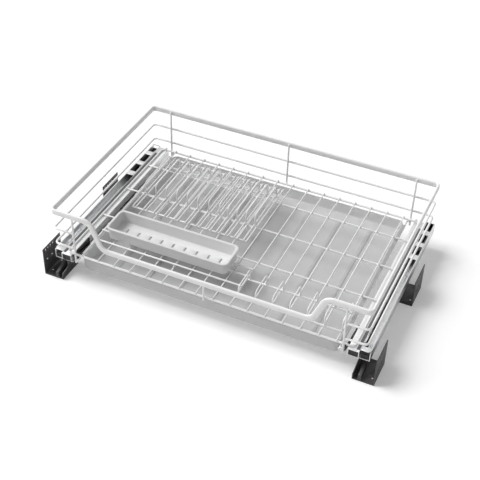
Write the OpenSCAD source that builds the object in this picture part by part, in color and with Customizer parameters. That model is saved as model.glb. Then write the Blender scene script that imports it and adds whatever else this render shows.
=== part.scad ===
/* [Cabinet] */
// Clear width between the cabinet's side panels
cabinet_gap = 768; // [748:1:820]
// Space between a bracket's outer face and the rail beside it
rail_offset = 20; // [16:1:24]
// Space between a side panel and the basket's rim
side_clearance = 23.5; // [22:0.5:32]

/* [Basket] */
// Depth of the basket from front to back
basket_depth = 461; // [446:1:484]
// Height of the rim above the rails
basket_height = 116.5; // [112:0.5:126]
// How far the front of the rim dips
dip_depth = 66; // [58:1:68]
// Width of the low stretch at the front
dip_width = 444; // [380:2:460]
// Bend radius at the dip's four bends
dip_radius = 24; // [20:1:26]
// Slope of the dip's ends, in degrees
dip_angle = 68; // [60:1:74]
// Height of the rim's flat bar
rim_height = 14; // [12:0.5:16]
// Thickness of the rim's flat bar
rim_thickness = 6; // [5:0.5:6.5]
// Corner radius of the rim and the side wires, on the wire's centre
corner_radius = 9; // [8:1:14]
// Diameter of the side wires
side_wire_d = 5; // [4:0.5:5.5]
// How far the upper side wire lies below the rim's top
upper_wire_drop = 53.5; // [46:0.5:58]
// How far the lower side wire lies below the rim's top
lower_wire_drop = 94; // [88:0.5:96]
// Diameter of the upright posts
post_d = 4.5; // [4:0.5:5]
// How far inside the basket rails the outer posts stand
post_inset = 10.5; // [10:0.5:14]
// How far the outer posts reach below the bottom frame's centre
post_foot = 19; // [16:1:22]

/* [Bottom] */
// Diameter of the bottom frame's wire
frame_d = 5; // [4.5:0.5:5.5]
// Corner radius of the bottom frame, on the wire's centre
frame_radius = 9; // [8:1:10]
// Diameter of the lengthwise grid wires
grid_d = 3; // [2.5:0.5:3.5]
// Diameter of the cross wires under the grid
cross_d = 4; // [3:0.5:4]
// Number of lengthwise grid wires
grid_wires = 16; // [12:1:20]
// Distance of the outermost grid wires from the middle
grid_reach = 293; // [285:1:297]

/* [Rails] */
// How much shorter than the basket the cabinet rail is
cabinet_rail_less = 9; // [9:0.5:14]
// How much shorter than the basket the middle rail is
middle_rail_less = 54; // [50:1:60]
// How much shorter than the basket the basket rail is
basket_rail_less = 7; // [5:0.5:8]
// Height of the rail assembly
rail_height = 24.5; // [24.5:0.5:27]
// Sheet thickness of the rails
rail_sheet = 1.5; // [1.4:0.1:1.6]
// Width of the cabinet rail's top lip
lip_width = 20.5; // [19.5:0.5:22]
// Width of the gap between the lip and the basket rail
groove_width = 1; // [0.8:0.1:2]
// Outer width of the basket rail
basket_rail_width = 24; // [24:0.5:25]
// Ball diameter
ball_d = 3.4; // [3.2:0.1:3.4]
// Balls in each row
balls_per_row = 6; // [4:1:9]

/* [Brackets] */
// Depth of a bracket from front to back
bracket_depth = 68; // [66:1:76]
// Height of a bracket's outer plate
plate_height = 68; // [66:1:80]
// Width of a bracket's base
bracket_width = 47; // [46:0.5:48]
// Height of the rail's seat above the bracket's base
seat_height = 42; // [40:1:48]
// Sheet thickness of a bracket
bracket_sheet = 2; // [1.5:0.5:2.5]
// Distance from the front bracket's middle to the rear bracket's middle
bracket_spacing = 256; // [224:32:288]
// How far the front brackets stand ahead of the basket
bracket_lead = 10.5; // [8:0.5:14]
// Diameter of the screw holes in a bracket
screw_hole_d = 5; // [4.5:0.5:5.5]

/* [Trays] */
// Length of the cutlery tray's body
cutlery_length = 284; // [240:2:296]
// Width of the cutlery tray's body
cutlery_width = 66; // [60:1:68]
// Height of the cutlery tray
cutlery_height = 30; // [24:1:44]
// Wall of the cutlery tray
cutlery_wall = 1.8; // [1.5:0.1:2.5]
// Depth of the drip tray below its flange
drip_height = 29; // [24:1:32]
// Wall of the drip tray
drip_wall = 2; // [1.6:0.1:2.6]

/* [Inserts] */
// Slots for large plates
large_slots = 7; // [5:1:7]
// Slots for small plates
small_slots = 4; // [2:1:4]
// Spacing of the large plates
large_pitch = 27; // [24:0.5:27]
// Spacing of the small plates
small_pitch = 22; // [19:0.5:22]
// Height of the plate dividers
divider_height = 36; // [28:1:44]
// Diameter of the inserts' wires
divider_d = 3.2; // [3:0.1:3.5]
// Slots for saucers
saucer_slots = 6; // [4:1:6]
// Spacing of the saucers
saucer_pitch = 38; // [32:1:38]

/* [Hidden] */
$fn = 48;

// Clearances and overruns shared by all pieces
weld_gap = 0.05;
running_gap = 0.4;
cut_over = 1;

// Main levels and planes
rail_bottom = seat_height;
rail_top = rail_bottom + rail_height;
rim_top = rail_top + basket_height;
half_gap = cabinet_gap / 2;
basket_width = cabinet_gap - 2 * side_clearance;
half_width = basket_width / 2;
half_depth = basket_depth / 2;
frame_z = rail_top + frame_d / 2;
rim_z = rim_top - rim_height / 2;

// Places across the rail, measured from the middle of the basket
rail_outer = half_gap - rail_offset;
rail_center = rail_outer - lip_width - groove_width - basket_rail_width / 2;
rail_inner = rail_center - basket_rail_width / 2;
post_reach = rail_inner - post_inset;

// Rim and side wires
rim_y = half_depth - rim_thickness / 2;
wire_inner_face = half_depth - rim_thickness;
hoop_y = wire_inner_face + side_wire_d / 2;
hoop_x = half_width - rim_thickness + side_wire_d / 2;
rim_x = half_width - rim_thickness / 2;

// Posts stand inside the hoops at the back and between their ends at the front
post_back_y = wire_inner_face - post_d / 2;
front_frame_y = hoop_y - (post_d + frame_d) / 2 + weld_gap;
back_frame_y = post_back_y - (post_d + frame_d) / 2 - weld_gap;
grid_z = frame_z + (frame_d + grid_d) / 2 + weld_gap;
grid_top = grid_z + grid_d / 2;
cross_z = grid_z - (grid_d + cross_d) / 2 - weld_gap;
front_post_y = -front_frame_y - (post_d + frame_d) / 2 - weld_gap;
cross_shares = [-0.325, 0.153, 0.608];
cross_places = [for (s = cross_shares) s * half_depth];

// Rails run from just ahead of the bottom frame to the back of the basket
basket_rail_set = 1;
cabinet_rail_set = 8;
middle_rail_set = 11;
basket_rail_front = -half_depth + basket_rail_set;
cabinet_rail_front = basket_rail_front + cabinet_rail_set;
middle_rail_front = basket_rail_front + middle_rail_set;
cabinet_rail_length = basket_depth - cabinet_rail_less;
middle_rail_length = basket_depth - middle_rail_less;
basket_rail_length = basket_depth - basket_rail_less;
rail_back = cabinet_rail_front + cabinet_rail_length;

// Wire along X, Y or Z between two places
module wire_x(x1, x2, y, z, d) {
    translate([x1, y, z]) rotate([0, 90, 0]) cylinder(d = d, h = x2 - x1);
}
module wire_y(y1, y2, x, z, d) {
    translate([x, y1, z]) rotate([-90, 0, 0]) cylinder(d = d, h = y2 - y1);
}
module wire_z(z1, z2, x, y, d) {
    translate([x, y, z1]) cylinder(d = d, h = z2 - z1);
}

// Quarter bend of a round wire in a horizontal plane
module bend_flat(x, y, z, turn, radius, d) {
    translate([x, y, z]) rotate([0, 0, turn]) rotate_extrude(angle = 90)
        translate([radius, 0]) circle(d = d);
}

// Sets a piece so that the whole rack, with its leading brackets, has its middle at the origin
module placed() {
    translate([0, bracket_lead / 2, 0]) children();
}

// Both sides of the rack from the right-hand one
module left_of() {
    mirror([1, 0, 0]) children();
}

// Rounded rectangle outline
module rounded(w, d, r) {
    square([w - 2 * r, d], center = true);
    square([w, d - 2 * r], center = true);
    for (sx = [-1, 1], sy = [-1, 1]) translate([sx * (w / 2 - r), sy * (d / 2 - r)]) circle(r = r);
}

// Profile drawn across the rack and run from the front to the back
module run_back(front, length) {
    translate([0, front + length, 0]) rotate([90, 0, 0]) linear_extrude(length) children();
}

// Box given by its lowest corner and its highest corner
module block(low, high) {
    translate(low) cube(high - low);
}

// Brackets
plate_hole_drop = 6.5;
plate_hole_z = plate_height - plate_hole_drop;
plate_low_z = plate_height / 2;
plate_row_shares = [0.15, 0.29, 0.43, 0.57];
plate_low_shares = [0.19, 0.47];
base_hole_shares = [0.26, 0.78];
base_hole_inset = 9;
base_hole_x = half_gap - base_hole_inset;
rib_width = 7;
rib_reach = 35;
rib_front_height = 15;
rib_mid_height = 23;
rib_set = 1;
seat_start = 38;
seat_width = 25;
bracket_inner = half_gap - bracket_width;
seat_screw_inset = 18;
seat_screw_x = bracket_inner + seat_screw_inset;
seat_screw_shares = [0.66, 0.9];
seat_screw_places = [for (s = seat_screw_shares) s * bracket_depth];
seat_screw_d = 4;
seat_screw_clear = 0.1;
front_bracket_y = -half_depth - bracket_lead;
rear_bracket_y = front_bracket_y + bracket_spacing;

// Side view of the sloping rib and lip of a bracket
module bracket_web(thickness) {
    rotate([90, 0, 90]) linear_extrude(thickness) polygon([
        [0, 0], [0, rib_front_height], [seat_start, rib_mid_height],
        [seat_start, seat_height - bracket_sheet], [bracket_depth, seat_height - bracket_sheet],
        [bracket_depth, 0]
    ]);
}

module bracket(front) {
    color([0.22, 0.21, 0.22]) translate([0, front, 0]) difference() {
        union() {
            block([half_gap - bracket_sheet, 0, 0], [half_gap, bracket_depth, plate_height]);
            block([bracket_inner, 0, 0], [half_gap, bracket_depth, bracket_sheet]);
            translate([bracket_inner, 0, 0]) bracket_web(bracket_sheet);
            translate([half_gap - rib_reach, rib_set, 0]) bracket_rib();
            block([bracket_inner, seat_start, seat_height - bracket_sheet],
                  [bracket_inner + seat_width, bracket_depth, seat_height]);
        }
        for (s = plate_row_shares) plate_hole(s * bracket_depth, plate_hole_z);
        for (s = plate_low_shares) plate_hole(s * bracket_depth, plate_low_z);
        for (s = base_hole_shares)
            wire_z(-cut_over, bracket_sheet + cut_over, base_hole_x, s * bracket_depth, screw_hole_d);
        for (y = seat_screw_places)
            wire_z(seat_height - bracket_sheet - cut_over, seat_height + cut_over, seat_screw_x, y,
                   seat_screw_d + 2 * seat_screw_clear);
    }
}

module plate_hole(y, z) {
    wire_x(half_gap - bracket_sheet - cut_over, half_gap + cut_over, y, z, screw_hole_d);
}

// Pressed rib beside the lip, up to the underside of the seat
module bracket_rib() {
    rotate([90, 0, 90]) linear_extrude(rib_width) polygon([
        [0, bracket_sheet], [0, rib_front_height], [seat_start - rib_set, rib_mid_height],
        [seat_start - rib_set, bracket_sheet]
    ]);
}

// Screws that hold the cabinet rails on the seats
screw_head_d = 7;
screw_head_h = 2.2;
screw_socket_d = 2.5;
screw_socket_depth = 1.2;
screw_tail = 3;

module rail_screw(x, y) {
    seat_face = rail_bottom + rail_sheet;
    difference() {
        union() {
            wire_z(seat_face, seat_face + screw_head_h, x, y, screw_head_d);
            wire_z(seat_height - bracket_sheet - screw_tail, seat_face, x, y, seat_screw_d);
        }
        translate([x, y, seat_face + screw_head_h - screw_socket_depth])
            cylinder(d = screw_socket_d, h = screw_socket_depth + cut_over, $fn = 6);
    }
}

module rail_screws() {
    color([0.75, 0.76, 0.78]) for (front = [front_bracket_y, rear_bracket_y], y = seat_screw_places) {
        rail_screw(seat_screw_x, front + y);
        left_of() rail_screw(seat_screw_x, front + y);
    }
}

// Ball rows: the upper cage runs inside the basket rail, the lower cage inside the middle rail
ball_play = 0.15;
ball_rise = 12;
ball_z = rail_bottom + ball_rise;
race_gap = 3;
basket_rail_inside = basket_rail_width / 2 - rail_sheet;
middle_rail_outside = basket_rail_inside - race_gap;
middle_rail_inside = middle_rail_outside - rail_sheet;
track_outside = middle_rail_inside - race_gap;
upper_row_x = middle_rail_outside + race_gap / 2;
lower_row_x = track_outside + race_gap / 2;
top_gap = 1.5;
middle_rail_top = rail_top - rail_sheet - top_gap;
track_top = middle_rail_top - rail_sheet - top_gap;
basket_wall_rise = 7;
middle_wall_rise = 5.5;
basket_wall_drop = rail_height - basket_wall_rise;
middle_wall_drop = rail_height - middle_wall_rise;
raceway_r = ball_d / 2 + ball_play;

// Outline of an inverted U about the rail's middle, with a raceway on each side given
module channel(outside, inside, top, bottom, thickness) {
    difference() {
        translate([rail_center - outside, bottom]) square([2 * outside, top - bottom]);
        translate([rail_center - inside, bottom - cut_over])
            square([2 * inside, top - bottom - thickness + cut_over]);
    }
}

module raceways(reach) {
    for (s = [-1, 1]) translate([rail_center + s * reach, ball_z]) circle(r = raceway_r);
}

// Cabinet rail: its lip is cut open from near the front up to the soft-close unit
window_length = 31;
window_width = 16;
window_places = [-1, 0, 1];
window_pitch = 45.7;
window_set = 63;
window_middle = rail_back - window_set;
open_front = 12;
open_back = 140;
edge_strip = 2.5;
front_round = 8;
web_set = 0.8;
web_inner = rail_inner + web_set;

module cabinet_rail() {
    color([0.80, 0.81, 0.82]) difference() {
        run_back(cabinet_rail_front, cabinet_rail_length) cabinet_rail_profile();
        for (k = window_places) {
            mid_y = window_middle + k * window_pitch;
            block([rail_outer - lip_width / 2 - window_width / 2, mid_y - window_length / 2,
                   rail_top - rail_sheet - cut_over],
                  [rail_outer - lip_width / 2 + window_width / 2, mid_y + window_length / 2,
                   rail_top + cut_over]);
        }
        block([rail_outer - lip_width - cut_over, cabinet_rail_front + open_front,
               rail_top - rail_sheet - cut_over],
              [rail_outer - edge_strip, rail_back - open_back, rail_top + cut_over]);
        lip_corner();
        for (front = [front_bracket_y, rear_bracket_y], y = seat_screw_places)
            wire_z(rail_bottom - cut_over, rail_bottom + rail_sheet + cut_over, seat_screw_x, front + y,
                   seat_screw_d + 2 * seat_screw_clear);
    }
}

module cabinet_rail_profile() {
    translate([web_inner, rail_bottom]) square([rail_outer - web_inner, rail_sheet]);
    translate([rail_outer - rail_sheet, rail_bottom]) square([rail_sheet, rail_height]);
    translate([rail_outer - lip_width, rail_top - rail_sheet]) square([lip_width, rail_sheet]);
    difference() {
        channel(track_outside, track_outside - rail_sheet, track_top, rail_bottom + rail_sheet, rail_sheet);
        raceways(lower_row_x);
    }
}

// Rounding of the lip's front outer corner
module lip_corner() {
    translate([rail_outer - front_round, cabinet_rail_front + front_round, rail_top - 2 * rail_sheet])
        difference() {
            translate([0, -front_round - cut_over, 0])
                cube([front_round + cut_over, front_round + cut_over, 2 * rail_sheet + cut_over]);
            translate([0, 0, -cut_over]) cylinder(r = front_round, h = 2 * rail_sheet + 3 * cut_over);
        }
}

// Middle rail
module middle_rail() {
    color([0.74, 0.75, 0.77]) run_back(middle_rail_front, middle_rail_length) difference() {
        channel(middle_rail_outside, middle_rail_inside, middle_rail_top,
                rail_top - middle_wall_drop, rail_sheet);
        raceways(upper_row_x);
        raceways(lower_row_x);
    }
}

// Ball cages: thin inverted U strips with a hole for each ball
cage_thickness = 0.9;
cage_web = 0.7;
cage_hole_play = 0.08;
cage_below = 3.2;
upper_cage_set = 107;
upper_cage_length = 222;
upper_cage_front = middle_rail_front + upper_cage_set;
lower_cage_set = 102;
lower_cage_length = 192;
lower_cage_front = middle_rail_front + lower_cage_set;

module cage(row_x, top, front, length) {
    color([0.30, 0.30, 0.31]) difference() {
        run_back(front, length) channel(row_x + cage_thickness / 2, row_x - cage_thickness / 2, top,
                                        ball_z - cage_below, cage_web);
        for (k = [0:balls_per_row - 1])
            wire_x(rail_center - row_x - cut_over, rail_center + row_x + cut_over,
                   ball_place(k, front, length), ball_z, ball_d + 2 * cage_hole_play);
    }
}

module ball_rows(row_x, front, length) {
    color([0.85, 0.86, 0.88]) for (s = [-1, 1], k = [0:balls_per_row - 1])
        translate([rail_center + s * row_x, ball_place(k, front, length), ball_z]) sphere(d = ball_d);
}

function ball_place(k, front, length) = front + length * (k + 0.5) / balls_per_row;

module upper_ball_cage() {
    cage(upper_row_x, rail_top - rail_sheet - (top_gap - cage_web) / 2, upper_cage_front, upper_cage_length);
}
module lower_ball_cage() {
    cage(lower_row_x, middle_rail_top - rail_sheet - (top_gap - cage_web) / 2, lower_cage_front,
         lower_cage_length);
}
module upper_balls() {
    ball_rows(upper_row_x, upper_cage_front, upper_cage_length);
}
module lower_balls() {
    ball_rows(lower_row_x, lower_cage_front, lower_cage_length);
}

// Basket rail with its rear hook, its bead and the arm that moves the soft-close carriage
bead_width = 2;
bead_depth = 0.5;
bead_place = 6.5;
hook_width = 4;
hook_sheet = 1.5;
hook_reach = 5;
hook_set = 1;
hook_x = rail_inner + hook_set;
finger_set = 5.9;
finger_x = rail_outer - lip_width + finger_set;
finger_width = 2.2;
finger_length = 6;
finger_back = 81;
finger_y = rail_back - finger_back;
finger_drop = 10;
arm_thickness = 1.5;
arm_drop = 3;
arm_z = rail_top - rail_sheet - arm_drop;
clip_window_width = 10;
clip_window_height = 6;
clip_set = 24.5;
clip_y = basket_rail_front + clip_set;
clip_length = 48;
clip_top_gap = 0.5;
clip_height = 27.5;
clip_window_drop = 9;
clip_window_z = rail_top - clip_window_drop;
clip_window_y = clip_y + clip_length / 2;

module basket_rail() {
    color([0.86, 0.87, 0.88]) {
        difference() {
            run_back(basket_rail_front, basket_rail_length) basket_rail_profile();
            block([rail_inner - cut_over, clip_window_y - clip_window_width / 2,
                   clip_window_z - clip_window_height / 2],
                  [rail_inner + rail_sheet + cut_over, clip_window_y + clip_window_width / 2,
                   clip_window_z + clip_window_height / 2]);
        }
        rear_hook();
        trigger_arm();
    }
}

module basket_rail_profile() {
    difference() {
        channel(basket_rail_width / 2, basket_rail_inside, rail_top, rail_top - basket_wall_drop,
                rail_sheet);
        raceways(upper_row_x);
        translate([rail_center + basket_rail_width / 2 - bead_place, rail_top - bead_depth])
            square([bead_width, bead_depth + cut_over]);
    }
}

module rear_hook() {
    hook_y = back_frame_y + frame_d / 2 + running_gap;
    hook_top = frame_z + frame_d / 2 + running_gap;
    block([hook_x, hook_y, rail_top], [hook_x + hook_width, hook_y + hook_sheet, hook_top + hook_sheet]);
    block([hook_x, hook_y - hook_reach, hook_top], [hook_x + hook_width, hook_y, hook_top + hook_sheet]);
}

module trigger_arm() {
    outer_wall = rail_center + basket_rail_width / 2;
    block([outer_wall, finger_y, arm_z - arm_thickness],
          [finger_x + finger_width, finger_y + finger_length, arm_z]);
    block([finger_x, finger_y, rail_top - finger_drop],
          [finger_x + finger_width, finger_y + finger_length, arm_z - arm_thickness]);
}

// Travel stop on the cabinet rail's web
stop_front_share = 0.46;
stop_front = cabinet_rail_front + stop_front_share * cabinet_rail_length;
stop_length = 71;
stop_width = 4.2;
stop_height = 5;
stop_slot = 3;
stop_slots = 6;

module travel_stop() {
    top = rail_bottom + rail_sheet + stop_height;
    color([0.16, 0.15, 0.16]) difference() {
        block([rail_inner, stop_front, rail_bottom + rail_sheet],
              [rail_inner + stop_width, stop_front + stop_length, top]);
        for (k = [1:stop_slots]) {
            slot_y = stop_front + k * stop_length / (stop_slots + 1);
            block([rail_inner - cut_over, slot_y, top - stop_height / 3],
                  [rail_inner + stop_width / 2, slot_y + stop_slot, top + cut_over]);
        }
    }
}

// Soft-close unit under the lip's windows
housing_set = 3;
housing_length = 126;
housing_side_gap = 2.5;
housing_flange_gap = 0.3;
housing_back = rail_back - housing_set;
housing_front = housing_back - housing_length;
housing_inner = rail_center + basket_rail_width / 2 + housing_side_gap;
housing_outer = rail_outer - rail_sheet - housing_flange_gap;
housing_wall = 2;
housing_height = 14;
housing_floor = 2;
housing_z = rail_bottom + rail_sheet;
notch_play = 0.9;

module soft_close_housing() {
    top = housing_z + housing_height;
    color([0.13, 0.12, 0.13]) difference() {
        block([housing_inner, housing_front, housing_z], [housing_outer, housing_back, top]);
        block([housing_inner + housing_wall, housing_front + 1.5 * housing_wall, housing_z + housing_floor],
              [housing_outer - housing_wall, housing_back - 1.5 * housing_wall, top + cut_over]);
        block([finger_x - notch_play, housing_front - cut_over, rail_top - finger_drop - notch_play],
              [finger_x + finger_width + notch_play, housing_front + 2 * housing_wall, top + cut_over]);
        for (y = seat_screw_places)
            wire_z(housing_z - cut_over, top + cut_over, seat_screw_x, rear_bracket_y + y,
                   screw_head_d + 2 * running_gap);
    }
}

cylinder_d = 6;
cylinder_set = 71;
cylinder_front = rail_back - cylinder_set;
cylinder_back = housing_back - 1.5 * housing_wall;
rod_d = 2;
rod_play = 0.08;
rod_length = 52;
cylinder_x = housing_outer - housing_wall - cylinder_d / 2;
cylinder_rise = 1.2;
cylinder_z = housing_z + housing_floor + cylinder_d / 2 + cylinder_rise;
carriage_length = 10;
carriage_front = finger_y + finger_length / 2 - carriage_length / 2;
carriage_drop = 0.5;
side_play = 0.3;

module soft_close_cylinder() {
    color([0.55, 0.56, 0.58]) difference() {
        wire_y(cylinder_front, cylinder_back, cylinder_x, cylinder_z, cylinder_d);
        wire_y(cylinder_front - cut_over, cylinder_front + rod_length + cut_over, cylinder_x, cylinder_z,
               rod_d + 2 * rod_play);
    }
}

module soft_close_carriage() {
    top = housing_z + housing_height - carriage_drop;
    low_x = housing_inner + housing_wall + side_play;
    high_x = housing_outer - housing_wall - side_play;
    color([0.85, 0.85, 0.86]) {
        difference() {
            block([low_x, carriage_front, housing_z + housing_floor + side_play],
                  [high_x, carriage_front + carriage_length, top]);
            block([finger_x - running_gap, carriage_front - cut_over, rail_top - finger_drop - running_gap],
                  [finger_x + finger_width + running_gap, carriage_front + carriage_length + cut_over,
                   top + cut_over]);
        }
        wire_y(carriage_front + carriage_length, carriage_front + carriage_length + rod_length, cylinder_x,
               cylinder_z, rod_d);
    }
}

// Front clip: a ribbed housing on the inner wall of the basket rail, with the lever's pivot pin
clip_thickness = 3.4;
clip_rib_depth = 0.8;
clip_rib_pitch = 3;
clip_rib_share = 0.5;
clip_band_share = 0.42;
lever_thickness = 2.8;
lever_gap = 0.3;
pin_d = 4;
pin_play = 0.06;
pin_set = 8;
pin_drop = 18;
pin_y = clip_y + clip_length - pin_set;
pin_z = rail_top - pin_drop;
clip_face = rail_inner - weld_gap - clip_thickness;

module front_clip() {
    clip_top = rail_top - clip_top_gap;
    clip_bottom = clip_top - clip_height;
    rib_face = clip_face - clip_rib_depth;
    band_z = clip_bottom + clip_band_share * clip_height;
    ribs = floor(clip_length / clip_rib_pitch);
    color([0.12, 0.11, 0.12]) {
        block([clip_face, clip_y, clip_bottom], [rail_inner - weld_gap, clip_y + clip_length, clip_top]);
        for (k = [0:ribs - 1])
            block([rib_face, clip_y + k * clip_rib_pitch, band_z + clip_rib_depth],
                  [clip_face, clip_y + (k + clip_rib_share) * clip_rib_pitch, clip_top]);
        block([rail_inner - weld_gap, clip_window_y - clip_window_width / 2 + running_gap,
               clip_window_z - clip_window_height / 2 + running_gap],
              [rail_inner + rail_sheet, clip_window_y + clip_window_width / 2 - running_gap,
               clip_window_z + clip_window_height / 2 - running_gap]);
        wire_x(rib_face - lever_gap - lever_thickness, clip_face, pin_y, pin_z, pin_d);
    }
}

// Release lever: its nose stands in front of the bottom frame's front wire
lever_boss_d = 11;
lever_arm_height = 5;
nose_thickness = 3;
nose_y = front_frame_y + frame_d / 2 + running_gap + nose_thickness;
nose_rise = 1.5;
arm_front_drop = 11;
nose_top = frame_z + nose_rise;
arm_front_z = rail_top - arm_front_drop;
grip_length = 12;

module release_lever() {
    face = clip_face - clip_rib_depth - lever_gap - lever_thickness;
    color([0.17, 0.16, 0.17]) translate([face, 0, 0]) difference() {
        rotate([90, 0, 90]) linear_extrude(lever_thickness) lever_outline();
        wire_x(-cut_over, lever_thickness + cut_over, pin_y, pin_z, pin_d + 2 * pin_play);
    }
}

module lever_outline() {
    translate([pin_y, pin_z]) circle(d = lever_boss_d);
    polygon([
        [pin_y, pin_z + lever_boss_d / 2], [clip_y, arm_front_z + lever_arm_height],
        [-nose_y, arm_front_z + lever_arm_height], [-nose_y, arm_front_z],
        [clip_y + grip_length, arm_front_z - lever_arm_height], [pin_y, pin_z - lever_boss_d / 2]
    ]);
    translate([-nose_y, arm_front_z]) square([nose_thickness, nose_top - arm_front_z]);
}

// Rim: a flat bar with round edges
module rim_section() {
    square([rim_thickness, rim_height - rim_thickness], center = true);
    for (s = [-1, 1]) translate([0, s * (rim_height - rim_thickness) / 2]) circle(d = rim_thickness);
}
module rim_bar_x(x1, x2, y, z) {
    translate([x1 + weld_gap, y, z]) rotate([90, 0, 90]) linear_extrude(x2 - x1 - 2 * weld_gap)
        rim_section();
}
module rim_bar_y(y1, y2, x, z) {
    translate([x, y2 - weld_gap, z]) rotate([90, 0, 0]) linear_extrude(y2 - y1 - 2 * weld_gap) rim_section();
}
module rim_corner(x, y, turn) {
    translate([x, y, rim_z]) rotate([0, 0, turn]) rotate_extrude(angle = 90)
        translate([corner_radius, 0]) rim_section();
}
low_z = rim_z - dip_depth;
bend_x = dip_radius * sin(dip_angle);
bend_z = dip_radius * (1 - cos(dip_angle));
slope_length = (dip_depth - 2 * bend_z) / sin(dip_angle);
slope_x = slope_length * cos(dip_angle);
dip_start = dip_width / 2;
dip_end = dip_start + 2 * bend_x + slope_x;
straight_x = rim_x - corner_radius;
straight_y = rim_y - corner_radius;

// Height of the rim's underside at a place along the front
inner_bend = dip_radius - rim_height / 2;
outer_bend = dip_radius + rim_height / 2;
slope_end = dip_end - inner_bend * sin(dip_angle);
slope_start = dip_start + outer_bend * sin(dip_angle);
function rim_underside(x) =
    x >= dip_end ? rim_z - rim_height / 2 :
    x >= slope_end ? rim_z - dip_radius + sqrt(pow(inner_bend, 2) - pow(dip_end - x, 2)) :
    x >= slope_start ? rim_z - dip_radius + inner_bend * cos(dip_angle) - (slope_end - x) * tan(dip_angle) :
    x >= dip_start ? low_z + dip_radius - sqrt(pow(outer_bend, 2) - pow(x - dip_start, 2)) :
    low_z - rim_height / 2;

module dip_bend(turn) {
    rotate([0, 0, turn]) rotate_extrude(angle = dip_angle) translate([dip_radius, 0])
        rotate(90) rim_section();
}

// One end of the dip, each part set out from the end of the part before
module dip_side() {
    translate([dip_start, -rim_y, low_z + dip_radius]) rotate([90, 0, 0]) {
        dip_bend(-90);
        rotate([0, 0, dip_angle]) translate([0, -dip_radius, 0]) {
            translate([weld_gap, 0, 0]) rotate([90, 0, 90]) linear_extrude(slope_length - 2 * weld_gap)
                rotate(90) rim_section();
            translate([slope_length, -dip_radius, 0]) rotate([0, 0, 90 - dip_angle]) dip_bend(0);
        }
    }
}

module rim_side() {
    dip_side();
    rim_bar_x(dip_end, straight_x, -rim_y, rim_z);
    rim_corner(straight_x, -straight_y, -90);
    rim_bar_y(-straight_y, straight_y, rim_x, rim_z);
    rim_corner(straight_x, straight_y, 0);
}

module top_rim() {
    color([0.95, 0.95, 0.95]) {
        rim_bar_x(-dip_start, dip_start, -rim_y, low_z);
        rim_side();
        left_of() rim_side();
        rim_bar_x(-straight_x, straight_x, rim_y, rim_z);
    }
}

// Side wires: open at the front, where their ends meet the outer posts
module side_hoop(z) {
    sx = hoop_x - corner_radius;
    sy = hoop_y - corner_radius;
    post_face = post_reach + post_d / 2 + weld_gap;
    wire_x(post_face, sx, -hoop_y, z, side_wire_d);
    wire_x(-sx, -post_face, -hoop_y, z, side_wire_d);
    wire_x(-sx, sx, hoop_y, z, side_wire_d);
    for (s = [-1, 1]) wire_y(-sy, sy, s * hoop_x, z, side_wire_d);
    bend_flat(sx, -sy, z, -90, corner_radius, side_wire_d);
    bend_flat(sx, sy, z, 0, corner_radius, side_wire_d);
    bend_flat(-sx, sy, z, 90, corner_radius, side_wire_d);
    bend_flat(-sx, -sy, z, 180, corner_radius, side_wire_d);
}
module upper_side_wire() {
    color([0.95, 0.95, 0.95]) side_hoop(rim_top - upper_wire_drop);
}
module lower_side_wire() {
    color([0.95, 0.95, 0.95]) side_hoop(rim_top - lower_wire_drop);
}

// Posts
post_bottom = frame_z - post_foot;
front_post_top = rim_underside(post_reach - post_d / 2) - weld_gap;
low_post_top = low_z - rim_height / 2 - weld_gap;
back_post_top = rim_z + rim_height / 2 - rim_thickness / 2;
middle_post_bottom = frame_z - frame_d;

module front_posts() {
    color([0.95, 0.95, 0.95]) {
        for (s = [-1, 1]) wire_z(post_bottom, front_post_top, s * post_reach, front_post_y, post_d);
        wire_z(middle_post_bottom, low_post_top, 0, front_post_y, post_d);
    }
}
module back_posts() {
    color([0.95, 0.95, 0.95]) {
        for (s = [-1, 1]) wire_z(post_bottom, back_post_top, s * post_reach, post_back_y, post_d);
        wire_z(middle_post_bottom, back_post_top, 0, post_back_y, post_d);
    }
}

// Bottom frame: lies on the tops of both basket rails
module bottom_frame() {
    sx = rail_center - frame_radius;
    front = -front_frame_y;
    color([0.95, 0.95, 0.95]) {
        wire_x(-sx, sx, front, frame_z, frame_d);
        wire_x(-sx, sx, back_frame_y, frame_z, frame_d);
        for (s = [-1, 1])
            wire_y(front + frame_radius, back_frame_y - frame_radius, s * rail_center, frame_z, frame_d);
        bend_flat(sx, front + frame_radius, frame_z, -90, frame_radius, frame_d);
        bend_flat(sx, back_frame_y - frame_radius, frame_z, 0, frame_radius, frame_d);
        bend_flat(-sx, back_frame_y - frame_radius, frame_z, 90, frame_radius, frame_d);
        bend_flat(-sx, front + frame_radius, frame_z, 180, frame_radius, frame_d);
    }
}

// Bottom grid: lengthwise wires over the frame, cross wires between the frame's sides
function grid_x(k) = -grid_reach + k * 2 * grid_reach / (grid_wires - 1);

module bottom_grid() {
    cross_end = rail_center - frame_d / 2 - weld_gap;
    color([0.95, 0.95, 0.95]) {
        for (k = [0:grid_wires - 1])
            wire_y(-front_frame_y - frame_d / 2, back_frame_y + frame_d / 2, grid_x(k), grid_z, grid_d);
        for (y = cross_places) wire_x(-cross_end, cross_end, y, cross_z, cross_d);
    }
}

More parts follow.
